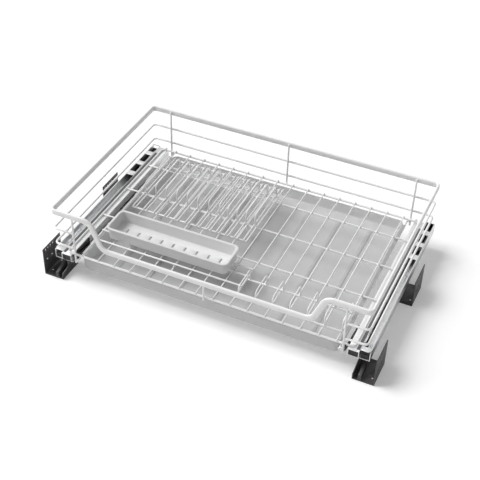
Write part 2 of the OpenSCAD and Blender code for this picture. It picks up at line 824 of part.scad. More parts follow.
// Shelf of three cross rails for the cutlery tray and the cups
shelf_foot_d = 3;
shelf_rail_d = 4;
shelf_front_set = 56.5;
shelf_front_space = 34;
shelf_back_space = 24;
shelf_front = -wire_inner_face + shelf_front_set;
shelf_rail_places = [shelf_front, shelf_front + shelf_front_space,
                     shelf_front + shelf_front_space + shelf_back_space];
shelf_foot_shares = [0, 0.33, 0.6];
shelf_foot_places = [for (s = shelf_foot_shares) grid_x(round(s * (grid_wires - 1)))];
shelf_left = shelf_foot_places[0] - shelf_rail_d / 2;
shelf_right = shelf_foot_places[2] + shelf_rail_d / 2;
shelf_foot_over = 6;
shelf_foot_z = grid_top + shelf_foot_d / 2 + weld_gap;
shelf_z = shelf_foot_z + (shelf_foot_d + shelf_rail_d) / 2 + weld_gap;
shelf_top = shelf_z + shelf_rail_d / 2;

module tray_shelf() {
    color([0.95, 0.95, 0.95]) {
        for (y = shelf_rail_places) wire_x(shelf_left, shelf_right, y, shelf_z, shelf_rail_d);
        for (x = shelf_foot_places)
            wire_y(shelf_rail_places[0] - shelf_foot_over, shelf_rail_places[2] + shelf_foot_over, x,
                   shelf_foot_z, shelf_foot_d);
    }
}

// Hangers that carry the drip tray, welded to the outer posts
hanger_d = 4;
hanger_drop = 9;
hanger_z = frame_z - hanger_drop;
hanger_set = 6.45;
hanger_x = post_reach - hanger_set;
eye_radius = 2.6;
eye_d = 2.8;

module tray_hanger() {
    wire_y(front_post_y, post_back_y, hanger_x, hanger_z, hanger_d);
    for (y = [front_post_y, post_back_y])
        wire_x(hanger_x, post_reach - post_d / 2 - weld_gap, y, hanger_z, eye_d);
    translate([hanger_x, front_post_y, hanger_z - eye_radius - eye_d / 2]) rotate([90, 0, 0])
        rotate_extrude() translate([eye_radius, 0]) circle(d = eye_d);
}
module tray_hangers() {
    color([0.95, 0.95, 0.95]) {
        tray_hanger();
        left_of() tray_hanger();
    }
}

// Drip tray: flanges on its long sides run on the hangers
drip_flange = 1.5;
seat_gap = 0.3;
drip_side_gap = 2.5;
drip_overlap = 0.4;
drip_front_set = 9.5;
drip_back_set = 7;
drip_flange_z = hanger_z + hanger_d / 2 + seat_gap;
drip_body_half = hanger_x - hanger_d / 2 - drip_side_gap;
drip_flange_half = hanger_x + hanger_d / 2 + drip_overlap;
drip_front = -half_depth + drip_front_set;
drip_back = post_back_y - drip_back_set;
drip_radius = 14;
drip_bottom = drip_flange_z - drip_height;
drip_ribs = 7;
drip_rib_width = 10;
drip_rib_height = 1.2;
drip_rib_inset = 30;
grip_width = 60;
grip_reach = 6;

module drip_tray() {
    depth = drip_back - drip_front;
    middle = (drip_back + drip_front) / 2;
    color([0.78, 0.79, 0.80]) {
        difference() {
            translate([0, middle, drip_bottom]) linear_extrude(drip_height)
                rounded(2 * drip_body_half, depth, drip_radius);
            translate([0, middle, drip_bottom + drip_wall]) linear_extrude(drip_height)
                rounded(2 * (drip_body_half - drip_wall), depth - 2 * drip_wall, drip_radius - drip_wall);
        }
        for (s = [-1, 1]) drip_side_flange(s);
        for (k = [0:drip_ribs - 1])
            translate([(k - (drip_ribs - 1) / 2) * 2 * (drip_body_half - drip_rib_inset) / drip_ribs, middle,
                       drip_bottom + drip_wall])
                linear_extrude(drip_rib_height)
                    rounded(drip_rib_width, depth - 2 * drip_rib_inset, drip_rib_width / 2 - weld_gap);
    }
}

module drip_side_flange(s) {
    low_x = drip_body_half - drip_wall;
    scale_x = s < 0 ? 1 : 0;
    mirror([scale_x, 0, 0]) translate([-drip_flange_half, drip_front + drip_radius, drip_flange_z])
        cube([drip_flange_half - low_x, drip_back - drip_front - 2 * drip_radius, drip_flange]);
}

// Cutlery tray: an open box with a rolled rim and drain slots
cutlery_rim = 4;
cutlery_rim_height = 2.4;
cutlery_radius = 10;
cutlery_left_set = 27;
cutlery_front_set = 1.5;
cutlery_x = shelf_left + cutlery_left_set + cutlery_length / 2;
cutlery_y = (shelf_rail_places[1] + shelf_rail_places[2]) / 2 - cutlery_front_set;
cutlery_bottom = shelf_top + seat_gap;
drain_rows = 9;
drain_width = 4;
drain_length = 22;

module cutlery_tray() {
    color([0.86, 0.87, 0.88]) translate([cutlery_x, cutlery_y, cutlery_bottom]) difference() {
        union() {
            linear_extrude(cutlery_height) rounded(cutlery_length, cutlery_width, cutlery_radius);
            translate([0, 0, cutlery_height - cutlery_rim_height]) linear_extrude(cutlery_rim_height)
                rounded(cutlery_length + 2 * cutlery_rim, cutlery_width + 2 * cutlery_rim,
                        cutlery_radius + cutlery_rim);
        }
        translate([0, 0, cutlery_wall]) linear_extrude(cutlery_height)
            rounded(cutlery_length - 2 * cutlery_wall, cutlery_width - 2 * cutlery_wall,
                    cutlery_radius - cutlery_wall);
        for (k = [0:drain_rows - 1])
            translate([(k - (drain_rows - 1) / 2) * cutlery_length / (drain_rows + 1), 0, -cut_over])
                linear_extrude(cutlery_wall + 2 * cut_over)
                    rounded(drain_width, drain_length, drain_width / 2 - weld_gap);
    }
}

// Plate rack: cross rails and pairs of lengthwise wires, with a standing arch for each gap
plate_rail_d = 4;
plate_rail_shares = [-0.121, 0.104, 0.633, 0.772];
plate_rail_places = [for (s = plate_rail_shares) s * half_depth];
plate_left_set = 21;
plate_left = -grid_reach + plate_left_set;
plate_pair_gap = 8;
plate_over = 6;
plate_rail_z = grid_top + plate_rail_d / 2 + seat_gap;
pair_z = plate_rail_z + (plate_rail_d + divider_d) / 2 + weld_gap;
divider_foot_z = plate_rail_z + plate_rail_d / 2 + weld_gap;
divider_radius = 9;
plate_places = [for (k = [0:large_slots + small_slots])
    plate_left + min(k, large_slots) * large_pitch + max(k - large_slots, 0) * small_pitch];

module plate_rack_base() {
    last = plate_places[len(plate_places) - 1];
    color([0.95, 0.95, 0.95]) {
        for (y = plate_rail_places)
            wire_x(plate_left - plate_over, last + plate_over, y, plate_rail_z, plate_rail_d);
        for (x = plate_places, s = [-1, 1])
            wire_y(plate_rail_places[0] - plate_rail_d / 2, plate_rail_places[3] + plate_rail_d / 2,
                   x + s * plate_pair_gap / 2, pair_z, divider_d);
    }
}

// Arch that stands on two rails, with round shoulders
module arch(x, y1, y2, foot, height, radius, d) {
    top = foot + height - d / 2;
    for (y = [y1, y2]) wire_z(foot, top - radius, x, y, d);
    wire_y(y1 + radius, y2 - radius, x, top, d);
    translate([x, y2 - radius, top - radius]) rotate([0, -90, 0]) rotate_extrude(angle = 90)
        translate([radius, 0]) circle(d = d);
    translate([x, y1 + radius, top - radius]) rotate([0, -90, 0]) rotate([0, 0, -90])
        rotate_extrude(angle = 90) translate([radius, 0]) circle(d = d);
}

module plate_dividers() {
    color([0.95, 0.95, 0.95]) for (x = plate_places)
        arch(x, plate_rail_places[1], plate_rail_places[2], divider_foot_z, divider_height, divider_radius,
             divider_d);
}

// Saucer rack
saucer_front_set = 24.5;
saucer_depth = 60;
saucer_front = -wire_inner_face + saucer_front_set;
saucer_rail_places = [saucer_front, saucer_front + saucer_depth];
saucer_over = 5;
saucer_gap = 1.5;
saucer_left = shelf_right + saucer_gap + saucer_over;
saucer_height = 30;
saucer_places = [for (k = [0:saucer_slots]) saucer_left + k * saucer_pitch];

module saucer_rack_base() {
    color([0.95, 0.95, 0.95]) for (y = saucer_rail_places)
        wire_x(saucer_left - saucer_over, saucer_places[saucer_slots] + saucer_over, y, plate_rail_z,
               plate_rail_d);
}
module saucer_dividers() {
    color([0.95, 0.95, 0.95]) for (x = saucer_places)
        arch(x, saucer_rail_places[0], saucer_rail_places[1], divider_foot_z, saucer_height, divider_radius,
             divider_d);
}

placed() left_of() bracket(front_bracket_y);  // front_left_bracket
placed() bracket(front_bracket_y);  // front_right_bracket
placed() left_of() bracket(rear_bracket_y);  // rear_left_bracket
placed() bracket(rear_bracket_y);  // rear_right_bracket
placed() rail_screws();
placed() left_of() cabinet_rail();  // cabinet_rail_left
placed() cabinet_rail();  // cabinet_rail_right
placed() left_of() travel_stop();  // travel_stop_left
placed() travel_stop();  // travel_stop_right
placed() left_of() soft_close_housing();  // soft_close_housing_left
placed() soft_close_housing();  // soft_close_housing_right
placed() left_of() soft_close_cylinder();  // soft_close_cylinder_left
placed() soft_close_cylinder();  // soft_close_cylinder_right
placed() left_of() soft_close_carriage();  // soft_close_carriage_left
placed() soft_close_carriage();  // soft_close_carriage_right
placed() left_of() middle_rail();  // middle_rail_left
placed() middle_rail();  // middle_rail_right
placed() left_of() lower_ball_cage();  // lower_ball_cage_left
placed() lower_ball_cage();  // lower_ball_cage_right
placed() left_of() lower_balls();  // lower_balls_left
placed() lower_balls();  // lower_balls_right
placed() left_of() upper_ball_cage();  // upper_ball_cage_left
placed() upper_ball_cage();  // upper_ball_cage_right
placed() left_of() upper_balls();  // upper_balls_left
placed() upper_balls();  // upper_balls_right
placed() left_of() basket_rail();  // basket_rail_left
placed() basket_rail();  // basket_rail_right
placed() left_of() front_clip();  // front_clip_left
placed() front_clip();  // front_clip_right
placed() left_of() release_lever();  // release_lever_left
placed() release_lever();  // release_lever_right
placed() top_rim();
placed() upper_side_wire();
placed() lower_side_wire();
placed() front_posts();
placed() back_posts();
placed() bottom_frame();
placed() bottom_grid();
placed() tray_shelf();
placed() tray_hangers();
placed() drip_tray();
placed() cutlery_tray();
placed() plate_rack_base();
placed() plate_dividers();
placed() saucer_rack_base();
placed() saucer_dividers();
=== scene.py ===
"""Gives a cabinet dish rack its finished look: wire basket, ball rails, trays, racks, brackets."""
import math

import bpy
from bpy.props import FloatProperty, FloatVectorProperty, IntProperty, PointerProperty
from mathutils import Matrix, Vector


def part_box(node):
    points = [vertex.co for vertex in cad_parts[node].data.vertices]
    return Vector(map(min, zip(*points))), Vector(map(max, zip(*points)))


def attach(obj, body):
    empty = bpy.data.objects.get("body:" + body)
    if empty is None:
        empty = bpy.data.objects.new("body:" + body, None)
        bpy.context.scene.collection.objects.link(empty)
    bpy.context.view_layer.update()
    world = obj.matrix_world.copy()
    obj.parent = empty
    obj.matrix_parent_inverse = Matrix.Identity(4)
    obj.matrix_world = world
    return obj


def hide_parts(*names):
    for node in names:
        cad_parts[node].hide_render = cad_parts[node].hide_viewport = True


bl_info = {
    "name": "Cabinet dish rack",
    "version": (1, 0, 0),
    "blender": (4, 5, 0),
    "location": "3D View > Sidebar > Dish rack",
    "description": "Builds the finished look of a pull-out dish rack around its packed frame",
    "category": "Add Mesh",
}

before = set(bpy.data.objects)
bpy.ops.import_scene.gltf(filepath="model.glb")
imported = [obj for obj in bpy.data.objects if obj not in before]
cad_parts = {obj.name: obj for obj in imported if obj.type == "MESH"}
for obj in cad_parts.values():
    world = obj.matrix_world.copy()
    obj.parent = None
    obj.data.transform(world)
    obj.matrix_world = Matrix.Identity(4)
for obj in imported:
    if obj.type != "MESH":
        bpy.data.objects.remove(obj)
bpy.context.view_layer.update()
MM = 0.001
SIDES = ("left", "right")

# Places that the frame's boxes don't give
GRID_REACH = 293 * MM
CROSS_WIRE_SHARES = (-0.325, 0.153, 0.608)
PLATE_RAIL_SHARES = (-0.121, 0.104, 0.633, 0.772)
WELD_GAP = 0.05 * MM

# Steps round each kind of bend
RIM_STEPS, DIP_STEPS, WIRE_STEPS, FRAME_STEPS, ARCH_STEPS = 12, 14, 10, 8, 7

# Weld beads: width, length and height
GRID_BEAD = (2.3 * MM, 2.0 * MM, 1.3 * MM)
POST_BEAD = (2.1 * MM, 1.5 * MM, 3.0 * MM)
PAIR_BEAD = (2.1 * MM, 1.9 * MM, 1.1 * MM)
SAUCER_BEAD = (2.2 * MM, 2.0 * MM, 1.0 * MM)

# How near two heights count as one, and how squarely a face has to look one way
SAME_HEIGHT = 1e-5
SQUARELY = 0.9


# Places taken from the frame
def low(node):
    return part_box(node)[0]


def high(node):
    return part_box(node)[1]


def middle(node):
    return (low(node) + high(node)) / 2


# Finishes
def feed(tree, socket, value):
    """Links an output to a socket, or sets the socket's value."""
    if isinstance(value, bpy.types.NodeSocket):
        tree.links.new(value, socket)
    else:
        socket.default_value = value


def add_node(tree, kind, settings, inputs):
    """Adds a node, with its settings and the values or links of its sockets."""
    made = tree.nodes.new(kind)
    for name, value in settings.items():
        setattr(made, name, value)
    for name, value in inputs.items():
        feed(tree, made.inputs[name], value.socket if isinstance(value, Value) else value)
    return made


class Value:
    """A number that changes over a surface. Python's operators on it add Math nodes."""

    def __init__(self, finish, socket):
        self.finish = finish
        self.socket = socket

    def math(self, operation, *terms):
        made = self.finish.node("ShaderNodeMath", {"operation": operation}, dict(enumerate(terms)))
        return Value(self.finish, made.outputs[0])

    def __add__(self, other):
        return self.math("ADD", self, other)

    def __sub__(self, other):
        return self.math("SUBTRACT", self, other)

    def __rsub__(self, other):
        return self.math("SUBTRACT", other, self)

    def __mul__(self, other):
        return self.math("MULTIPLY", self, other)

    __radd__ = __add__
    __rmul__ = __mul__


class Finish:
    """One material while it is being made."""

    def __init__(self, name, colour, roughness, metallic=0.0, coat=0.0):
        self.material = bpy.data.materials.new(name)
        self.material.use_nodes = True
        self.tree = self.material.node_tree
        self.shader = self.tree.nodes["Principled BSDF"]
        self.colour = colour
        self.set("Base Color", (*colour, 1.0))
        self.set("Roughness", roughness)
        self.set("Metallic", metallic)
        self.set("Coat Weight", coat)
        self.place = self.node("ShaderNodeTexCoord", {}, {}).outputs["Object"]

    def set(self, socket, value):
        value = value.socket if isinstance(value, Value) else value
        feed(self.tree, self.shader.inputs[socket], value)

    def node(self, kind, settings, inputs):
        return add_node(self.tree, kind, settings, inputs)

    def stretched(self, x, y, z):
        """Object coordinates with each axis scaled, so that a pattern runs along one of them."""
        made = self.node("ShaderNodeVectorMath", {"operation": "MULTIPLY"},
                         {0: self.place, 1: (x, y, z)})
        return made.outputs[0]

    def noise(self, scale, detail, place=None):
        made = self.node("ShaderNodeTexNoise", {}, {"Vector": place or self.place, "Scale": scale,
                                                   "Detail": detail})
        return Value(self, made.outputs["Fac"])

    def cells(self, scale):
        """A grey of its own for each crystal."""
        made = self.node("ShaderNodeTexVoronoi", {}, {"Vector": self.place, "Scale": scale})
        parted = self.node("ShaderNodeSeparateColor", {}, {0: made.outputs["Color"]})
        return Value(self, parted.outputs[0])

    def blend(self, amount, first, second):
        """A colour between two others."""
        made = self.node("ShaderNodeMix", {"data_type": "RGBA"}, {0: amount, 6: first, 7: second})
        return made.outputs[2]

    def shade(self, amount, dark, light):
        """The finish's colour taken between a darker and a lighter share of itself."""
        first = (*[c * dark for c in self.colour], 1.0)
        second = (*[min(1.0, c * light) for c in self.colour], 1.0)
        self.set("Base Color", self.blend(amount, first, second))

    def bump(self, height, strength, distance):
        made = self.node("ShaderNodeBump", {}, {"Height": height, "Strength": strength,
                                               "Distance": distance})
        self.set("Normal", made.outputs[0])


def coated_wire(name, colour):
    """Smooth polymer coating with a faint sag in its skin and a few dull rubbed spots."""
    f = Finish(name, colour, 0.34, coat=0.25)
    sag, skin = f.noise(scale=55.0, detail=3.0), f.noise(scale=900.0, detail=2.0)
    f.shade(sag, dark=0.955, light=1.035)
    f.set("Roughness", 0.27 + 0.16 * f.noise(scale=140.0, detail=4.0))
    f.bump(sag * 0.7 + skin * 0.3, strength=0.16, distance=0.0004)
    return f.material


def powder_coat(name, colour):
    """Baked powder with its fine orange-peel grain, a little lighter and darker in soft clouds."""
    f = Finish(name, colour, 0.42, coat=0.12)
    peel, cloud = f.noise(scale=1500.0, detail=3.0), f.noise(scale=38.0, detail=4.0)
    f.shade(cloud * 0.7 + peel * 0.3, dark=0.72, light=1.5)
    f.set("Roughness", 0.34 + 0.2 * cloud)
    f.bump(peel, strength=0.45, distance=0.0003)
    return f.material


def zinc_sheet(name, colour, grain):
    """Rolled zinc-coated sheet: crystals in patches under long rolling lines."""
    f = Finish(name, colour, 0.3, metallic=1.0)
    rolled = f.noise(scale=1.0, detail=3.0, place=f.stretched(900.0, 14.0, 900.0))
    patch = f.cells(scale=170.0) * grain + rolled * (1.0 - grain)
    f.shade(patch, dark=0.86, light=1.1)
    f.set("Roughness", 0.31 + 0.12 * rolled)
    f.bump(rolled, strength=0.05, distance=0.0002)
    return f.material


def turned_steel(name, colour, roughness):
    """Small bright parts with fine turning marks."""
    f = Finish(name, colour, roughness, metallic=1.0)
    marks = f.noise(scale=2600.0, detail=2.0)
    f.shade(marks, dark=0.88, light=1.06)
    f.set("Roughness", roughness + 0.12 * f.noise(scale=400.0, detail=2.0))
    f.bump(marks, strength=0.08, distance=0.0001)
    return f.material


def moulded_plastic(name, colour, roughness, grain=0.35):
    """Injection-moulded plastic with a spark-eroded grain and faint flow clouds."""
    f = Finish(name, colour, roughness)
    eroded, flow = f.noise(scale=2100.0, detail=3.0), f.noise(scale=30.0, detail=3.0)
    f.shade(flow * 0.6 + eroded * 0.4, dark=0.8, light=1.3)
    f.set("Roughness", roughness - 0.06 + 0.14 * eroded)
    f.bump(eroded, strength=grain, distance=0.00025)
    return f.material


def frosted_plastic(name, colour, clear, roughness):
    """Milky see-through plastic: frosted skin, a little lighter and more opaque in soft flow clouds."""
    f = Finish(name, colour, roughness)
    frost, flow = f.noise(scale=1300.0, detail=3.0), f.noise(scale=16.0, detail=3.0)
    f.shade(flow, dark=0.95, light=1.05)
    f.set("Roughness", roughness - 0.05 + 0.12 * frost)
    f.set("Alpha", (1.0 - clear) + 0.06 * (flow - 0.5))
    f.set("Subsurface Weight", 0.25)
    f.set("Subsurface Radius", (0.004, 0.004, 0.004))
    f.bump(frost, strength=0.15, distance=0.0002)
    return f.material


FINISHES = {}


def make_finishes():
    look = bpy.context.scene.dish_rack_look
    FINISHES["coat"] = coated_wire("basket_coating", look.basket)
    FINISHES["insert"] = coated_wire("insert_coating", look.insert)
    FINISHES["bracket"] = powder_coat("bracket_powder", look.bracket)
    FINISHES["galvanised"] = zinc_sheet("galvanised_sheet", look.rail, 0.55)
    FINISHES["bright"] = zinc_sheet("bright_zinc_sheet", look.bright_rail, 0.25)
    FINISHES["middle"] = zinc_sheet("middle_rail_sheet", look.rail, 0.3)
    FINISHES["ball"] = turned_steel("ball_steel", (0.80, 0.81, 0.83), 0.12)
    FINISHES["screw"] = turned_steel("screw_zinc", (0.70, 0.71, 0.73), 0.28)
    FINISHES["cylinder"] = turned_steel("cylinder_steel", (0.45, 0.46, 0.48), 0.3)
    FINISHES["black"] = moulded_plastic("black_plastic", look.black, 0.46)
    FINISHES["cage"] = moulded_plastic("cage_plastic", (0.05, 0.05, 0.055), 0.5)
    # Dark rubber of the basket rails' shoulder strips, which paint the shade along the rails' outer edges
    FINISHES["shade_strip_finish"] = moulded_plastic("shade_strip_rubber", (0.11, 0.11, 0.115), 0.6, 0.25)
    FINISHES["lever"] = moulded_plastic("lever_plastic", look.black, 0.38, 0.2)
    FINISHES["pale"] = moulded_plastic("pale_plastic", (0.62, 0.62, 0.63), 0.42, 0.2)
    FINISHES["drip"] = frosted_plastic("drip_tray_plastic", look.drip_tray, look.drip_clear, 0.3)
    FINISHES["cutlery"] = frosted_plastic("cutlery_tray_plastic", look.cutlery_tray,
                                          look.cutlery_clear, 0.42)


# Workshop helpers
def only(piece):
    """Makes one piece the only thing selected, and the active one."""
    clear_selection()
    piece.select_set(True)
    bpy.context.view_layer.objects.active = piece


def clear_selection():
    if bpy.context.object and bpy.context.object.mode != "OBJECT":
        bpy.ops.object.mode_set(mode="OBJECT")
    bpy.ops.object.select_all(action="DESELECT")


def dropped(*pieces):
    """Removes patterns and cutters that have been used."""
    for piece in pieces:
        bpy.data.objects.remove(piece)


def settled(piece):
    """Moves a piece's place, turn and size into its mesh."""
    only(piece)
    bpy.ops.object.transform_apply(location=True, rotation=True, scale=True)
    return piece


def block(centre, size):
    """A plain block, to be shaped further."""
    clear_selection()
    bpy.ops.mesh.primitive_cube_add(size=1.0, location=centre, scale=size)
    return settled(bpy.context.object)


def edit():
    bpy.ops.object.mode_set(mode="EDIT")


def done():
    bpy.ops.object.mode_set(mode="OBJECT")


def pick(piece, test, kind="FACE"):
    """In edit mode, selects just the faces, edges or points that pass a test."""
    bpy.ops.mesh.select_mode(type=kind)
    bpy.ops.mesh.select_all(action="DESELECT")
    done()
    mesh = piece.data
    if kind == "FACE":
        for face in mesh.polygons:
            face.select = test(face.center, face.normal)
    elif kind == "EDGE":
        points = mesh.vertices
        for edge in mesh.edges:
            edge.select = test(points[edge.vertices[0]].co, points[edge.vertices[1]].co)
    else:
        for point in mesh.vertices:
            point.select = test(point.co)
    edit()


def join(name, pieces):
    """Joins finished pieces to one object with its place in its mesh."""
    clear_selection()
    for piece in pieces:
        piece.select_set(True)
    bpy.context.view_layer.objects.active = pieces[0]
    if len(pieces) > 1:
        bpy.ops.object.join()
    whole = bpy.context.view_layer.objects.active
    whole.name = name
    return settled(whole)


def copied(piece, offset=(0, 0, 0), mirrored=False):
    """A copy with a mesh of its own, moved, or mirrored left to right."""
    twin = piece.copy()
    twin.data = piece.data.copy()
    bpy.context.scene.collection.objects.link(twin)
    twin.data.transform(Matrix.Translation(Vector(offset)))
    if mirrored:
        twin.data.transform(Matrix.Scale(-1, 4, (1, 0, 0)))
        twin.data.flip_normals()
    return twin


def smoothed(piece, degrees=35.0):
    only(piece)
    bpy.ops.object.shade_smooth_by_angle(angle=math.radians(degrees))
    return piece


def with_modifier(piece, kind, **settings):
    only(piece)
    modifier = piece.modifiers.new(kind.lower(), kind)
    for name, value in settings.items():
        setattr(modifier, name, value)
    if bpy.ops.object.modifier_apply(modifier=modifier.name) != {"FINISHED"}:
        raise RuntimeError(f"{kind} couldn't be applied to {piece.name}")
    return piece


def finished(piece, finish, body, slot, *nodes):
    """Gives a piece its finish and its body, and hides the frame's nodes it stands for; the slot is not
    used.
    """
    piece.data.materials.clear()
    piece.data.materials.append(FINISHES[finish])
    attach(piece, body)
    if nodes:
        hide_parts(*nodes)
    return piece


def coated(piece, *nodes):
    """Finishes a piece of the basket's coated wire."""
    return finished(piece, "coat", "basket", "basket_coat", *nodes)


def ring(diameter, start, heading, corners=16, stretch=0.0):
    """The open outline of a wire's end, to be drawn along its way. Stretch makes it a flat bar's."""
    clear_selection()
    heading = Vector(heading)
    turn = heading.to_track_quat("Z", "Y").to_euler()
    bpy.ops.mesh.primitive_circle_add(vertices=corners, radius=diameter / 2, location=start,
                                      rotation=turn)
    piece = settled(bpy.context.object)
    edit()
    if stretch:
        for way in (1, -1):
            beyond = 0.01 * diameter
            pick(piece, lambda point: (point.z - start[2]) * way > beyond, "VERT")
            bpy.ops.transform.translate(value=(0, 0, way * stretch / 2))
    bpy.ops.mesh.select_mode(type="EDGE")
    bpy.ops.mesh.select_all(action="SELECT")
    return piece


def run(way):
    """Draws the selected outline straight on."""
    bpy.ops.mesh.extrude_region_move(TRANSFORM_OT_translate={"value": Vector(way)})


def bend(centre, axis, degrees, steps):
    """Draws the selected outline round a bend."""
    bpy.ops.mesh.spin(steps=steps, angle=-math.radians(degrees), center=Vector(centre),
                      axis=Vector(axis))


def closed_loop(piece, name):
    """Welds the last outline of a loop to the first."""
    bpy.ops.mesh.select_all(action="SELECT")
    bpy.ops.mesh.remove_doubles(threshold=2e-6)
    bpy.ops.mesh.normals_make_consistent(inside=False)
    done()
    piece.name = name
    return smoothed(piece, 50)


def capped(piece, name, round_by):
    """Closes both ends of a wire and rounds their rims."""
    bpy.ops.mesh.select_mode(type="EDGE")
    bpy.ops.mesh.select_all(action="SELECT")
    bpy.ops.mesh.remove_doubles(threshold=1e-7)
    bpy.ops.mesh.select_all(action="DESELECT")
    bpy.ops.mesh.select_non_manifold()
    bpy.ops.mesh.fill_holes(sides=0)
    bpy.ops.mesh.select_all(action="SELECT")
    bpy.ops.mesh.normals_make_consistent(inside=False)
    done()
    piece.name = name
    with_modifier(piece, "BEVEL", width=round_by, segments=2, limit_method="ANGLE",
                  angle_limit=math.radians(60), use_clamp_overlap=True)
    return smoothed(piece, 50)


def straight_wire(name, start, end, diameter, corners=14, round_by=0.0007):
    start, end = Vector(start), Vector(end)
    piece = ring(diameter, start, end - start, corners)
    run(end - start)
    return capped(piece, name, round_by)


def weld(size):
    """The small flattened bead where two wires are welded."""
    clear_selection()
    bpy.ops.mesh.primitive_ico_sphere_add(subdivisions=2, radius=1.0, scale=size)
    return smoothed(settled(bpy.context.object), 60)


def eased(node, name, width, segments=2, angle=28.0, smooth=35.0):
    """A copy of a frame node with its flat faces cleaned up and its edges eased."""
    piece = copied(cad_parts[node])
    piece.name = name
    piece.parent = None
    for key in list(piece.keys()):
        del piece[key]
    only(piece)
    edit()
    bpy.ops.mesh.select_all(action="SELECT")
    bpy.ops.mesh.remove_doubles(threshold=2e-6)
    bpy.ops.mesh.dissolve_limited(angle_limit=math.radians(0.6))
    done()
    with_modifier(piece, "BEVEL", width=width, segments=segments, limit_method="ANGLE",
                  angle_limit=math.radians(angle), use_clamp_overlap=True, miter_outer="MITER_ARC")
    return smoothed(piece, smooth)


# Sizes and colours a user may change
class DishRackSizes(bpy.types.PropertyGroup):
    """Wire sizes and bends of the basket"""
    rim_thickness: FloatProperty(name="Rim thickness", description="Thickness of the flat rim bar",
                                 default=6 * MM, unit="LENGTH")
    rim_height: FloatProperty(name="Rim height", description="Height of the flat rim bar",
                              default=14 * MM, unit="LENGTH")
    corner: FloatProperty(name="Corner radius",
                          description="Bend radius of the rim, the side wires and the bottom frame",
                          default=9 * MM, unit="LENGTH")
    dip_depth: FloatProperty(name="Dip depth", description="How far the front of the rim dips",
                             default=66 * MM, unit="LENGTH")
    dip_width: FloatProperty(name="Dip width", description="Width of the low stretch at the front",
                             default=444 * MM, unit="LENGTH")
    dip_radius: FloatProperty(name="Dip radius", description="Radius of the dip's four bends",
                              default=24 * MM, unit="LENGTH")
    dip_angle: FloatProperty(name="Dip angle", description="Slope of the dip's two ends",
                             default=math.radians(68), subtype="ANGLE")
    side_wire: FloatProperty(name="Side wire", description="Diameter of the side wires",
                             default=5 * MM, unit="LENGTH")
    post: FloatProperty(name="Post", description="Diameter of the upright posts",
                        default=4.5 * MM, unit="LENGTH")
    frame_wire: FloatProperty(name="Frame wire", description="Diameter of the bottom frame's wire",
                              default=5 * MM, unit="LENGTH")
    grid_wire: FloatProperty(name="Grid wire", description="Diameter of the lengthwise grid wires",
                             default=3 * MM, unit="LENGTH")
    cross_wire: FloatProperty(name="Cross wire", description="Diameter of the cross wires and rails",
                              default=4 * MM, unit="LENGTH")
    insert_wire: FloatProperty(name="Insert wire", description="Diameter of the plate and saucer wires",
                               default=3.2 * MM, unit="LENGTH")
    grid_count: IntProperty(name="Grid wires", description="Number of lengthwise grid wires", default=16)
    sections: IntProperty(name="Wire corners", description="Corners of a wire's section", default=16)


class DishRackLook(bpy.types.PropertyGroup):
    """Colours of the dish rack's finishes"""
    basket: FloatVectorProperty(name="Basket", description="Colour of the basket's coating",
                                subtype="COLOR", default=(0.87, 0.87, 0.865))
    insert: FloatVectorProperty(name="Inserts", description="Colour of the racks' coating",
                                subtype="COLOR", default=(0.85, 0.85, 0.85))
    bracket: FloatVectorProperty(name="Brackets", description="Colour of the brackets' powder coating",
                                 subtype="COLOR", default=(0.052, 0.048, 0.050))
    rail: FloatVectorProperty(name="Cabinet rails", description="Colour of the cabinet rails",
                              subtype="COLOR", default=(0.84, 0.845, 0.85))
    bright_rail: FloatVectorProperty(name="Basket rails", description="Colour of the basket rails",
                                     subtype="COLOR", default=(0.84, 0.845, 0.85))
    black: FloatVectorProperty(name="Black plastic", description="Colour of the black mouldings",
                               subtype="COLOR", default=(0.016, 0.015, 0.016))
    drip_tray: FloatVectorProperty(name="Drip tray", description="Colour of the drip tray",
                                   subtype="COLOR", default=(0.64, 0.64, 0.645))
    drip_clear: FloatProperty(name="Drip tray clearness",
                              description="Share of light through the drip tray",
                              default=0.42, subtype="FACTOR")
    cutlery_tray: FloatVectorProperty(name="Cutlery tray", description="Colour of the cutlery tray",
                                      subtype="COLOR", default=(0.78, 0.78, 0.785))
    cutlery_clear: FloatProperty(name="Cutlery tray clearness",
                                 description="Share of light through the cutlery tray",
                                 default=0.12, subtype="FACTOR")


# Basket
class PieceOperator:
    """What every piece's operator shares."""
    bl_options = {"REGISTER", "UNDO"}

    def execute(self, context):
        self.build(context.scene.dish_rack_sizes)
        clear_selection()
        return {"FINISHED"}


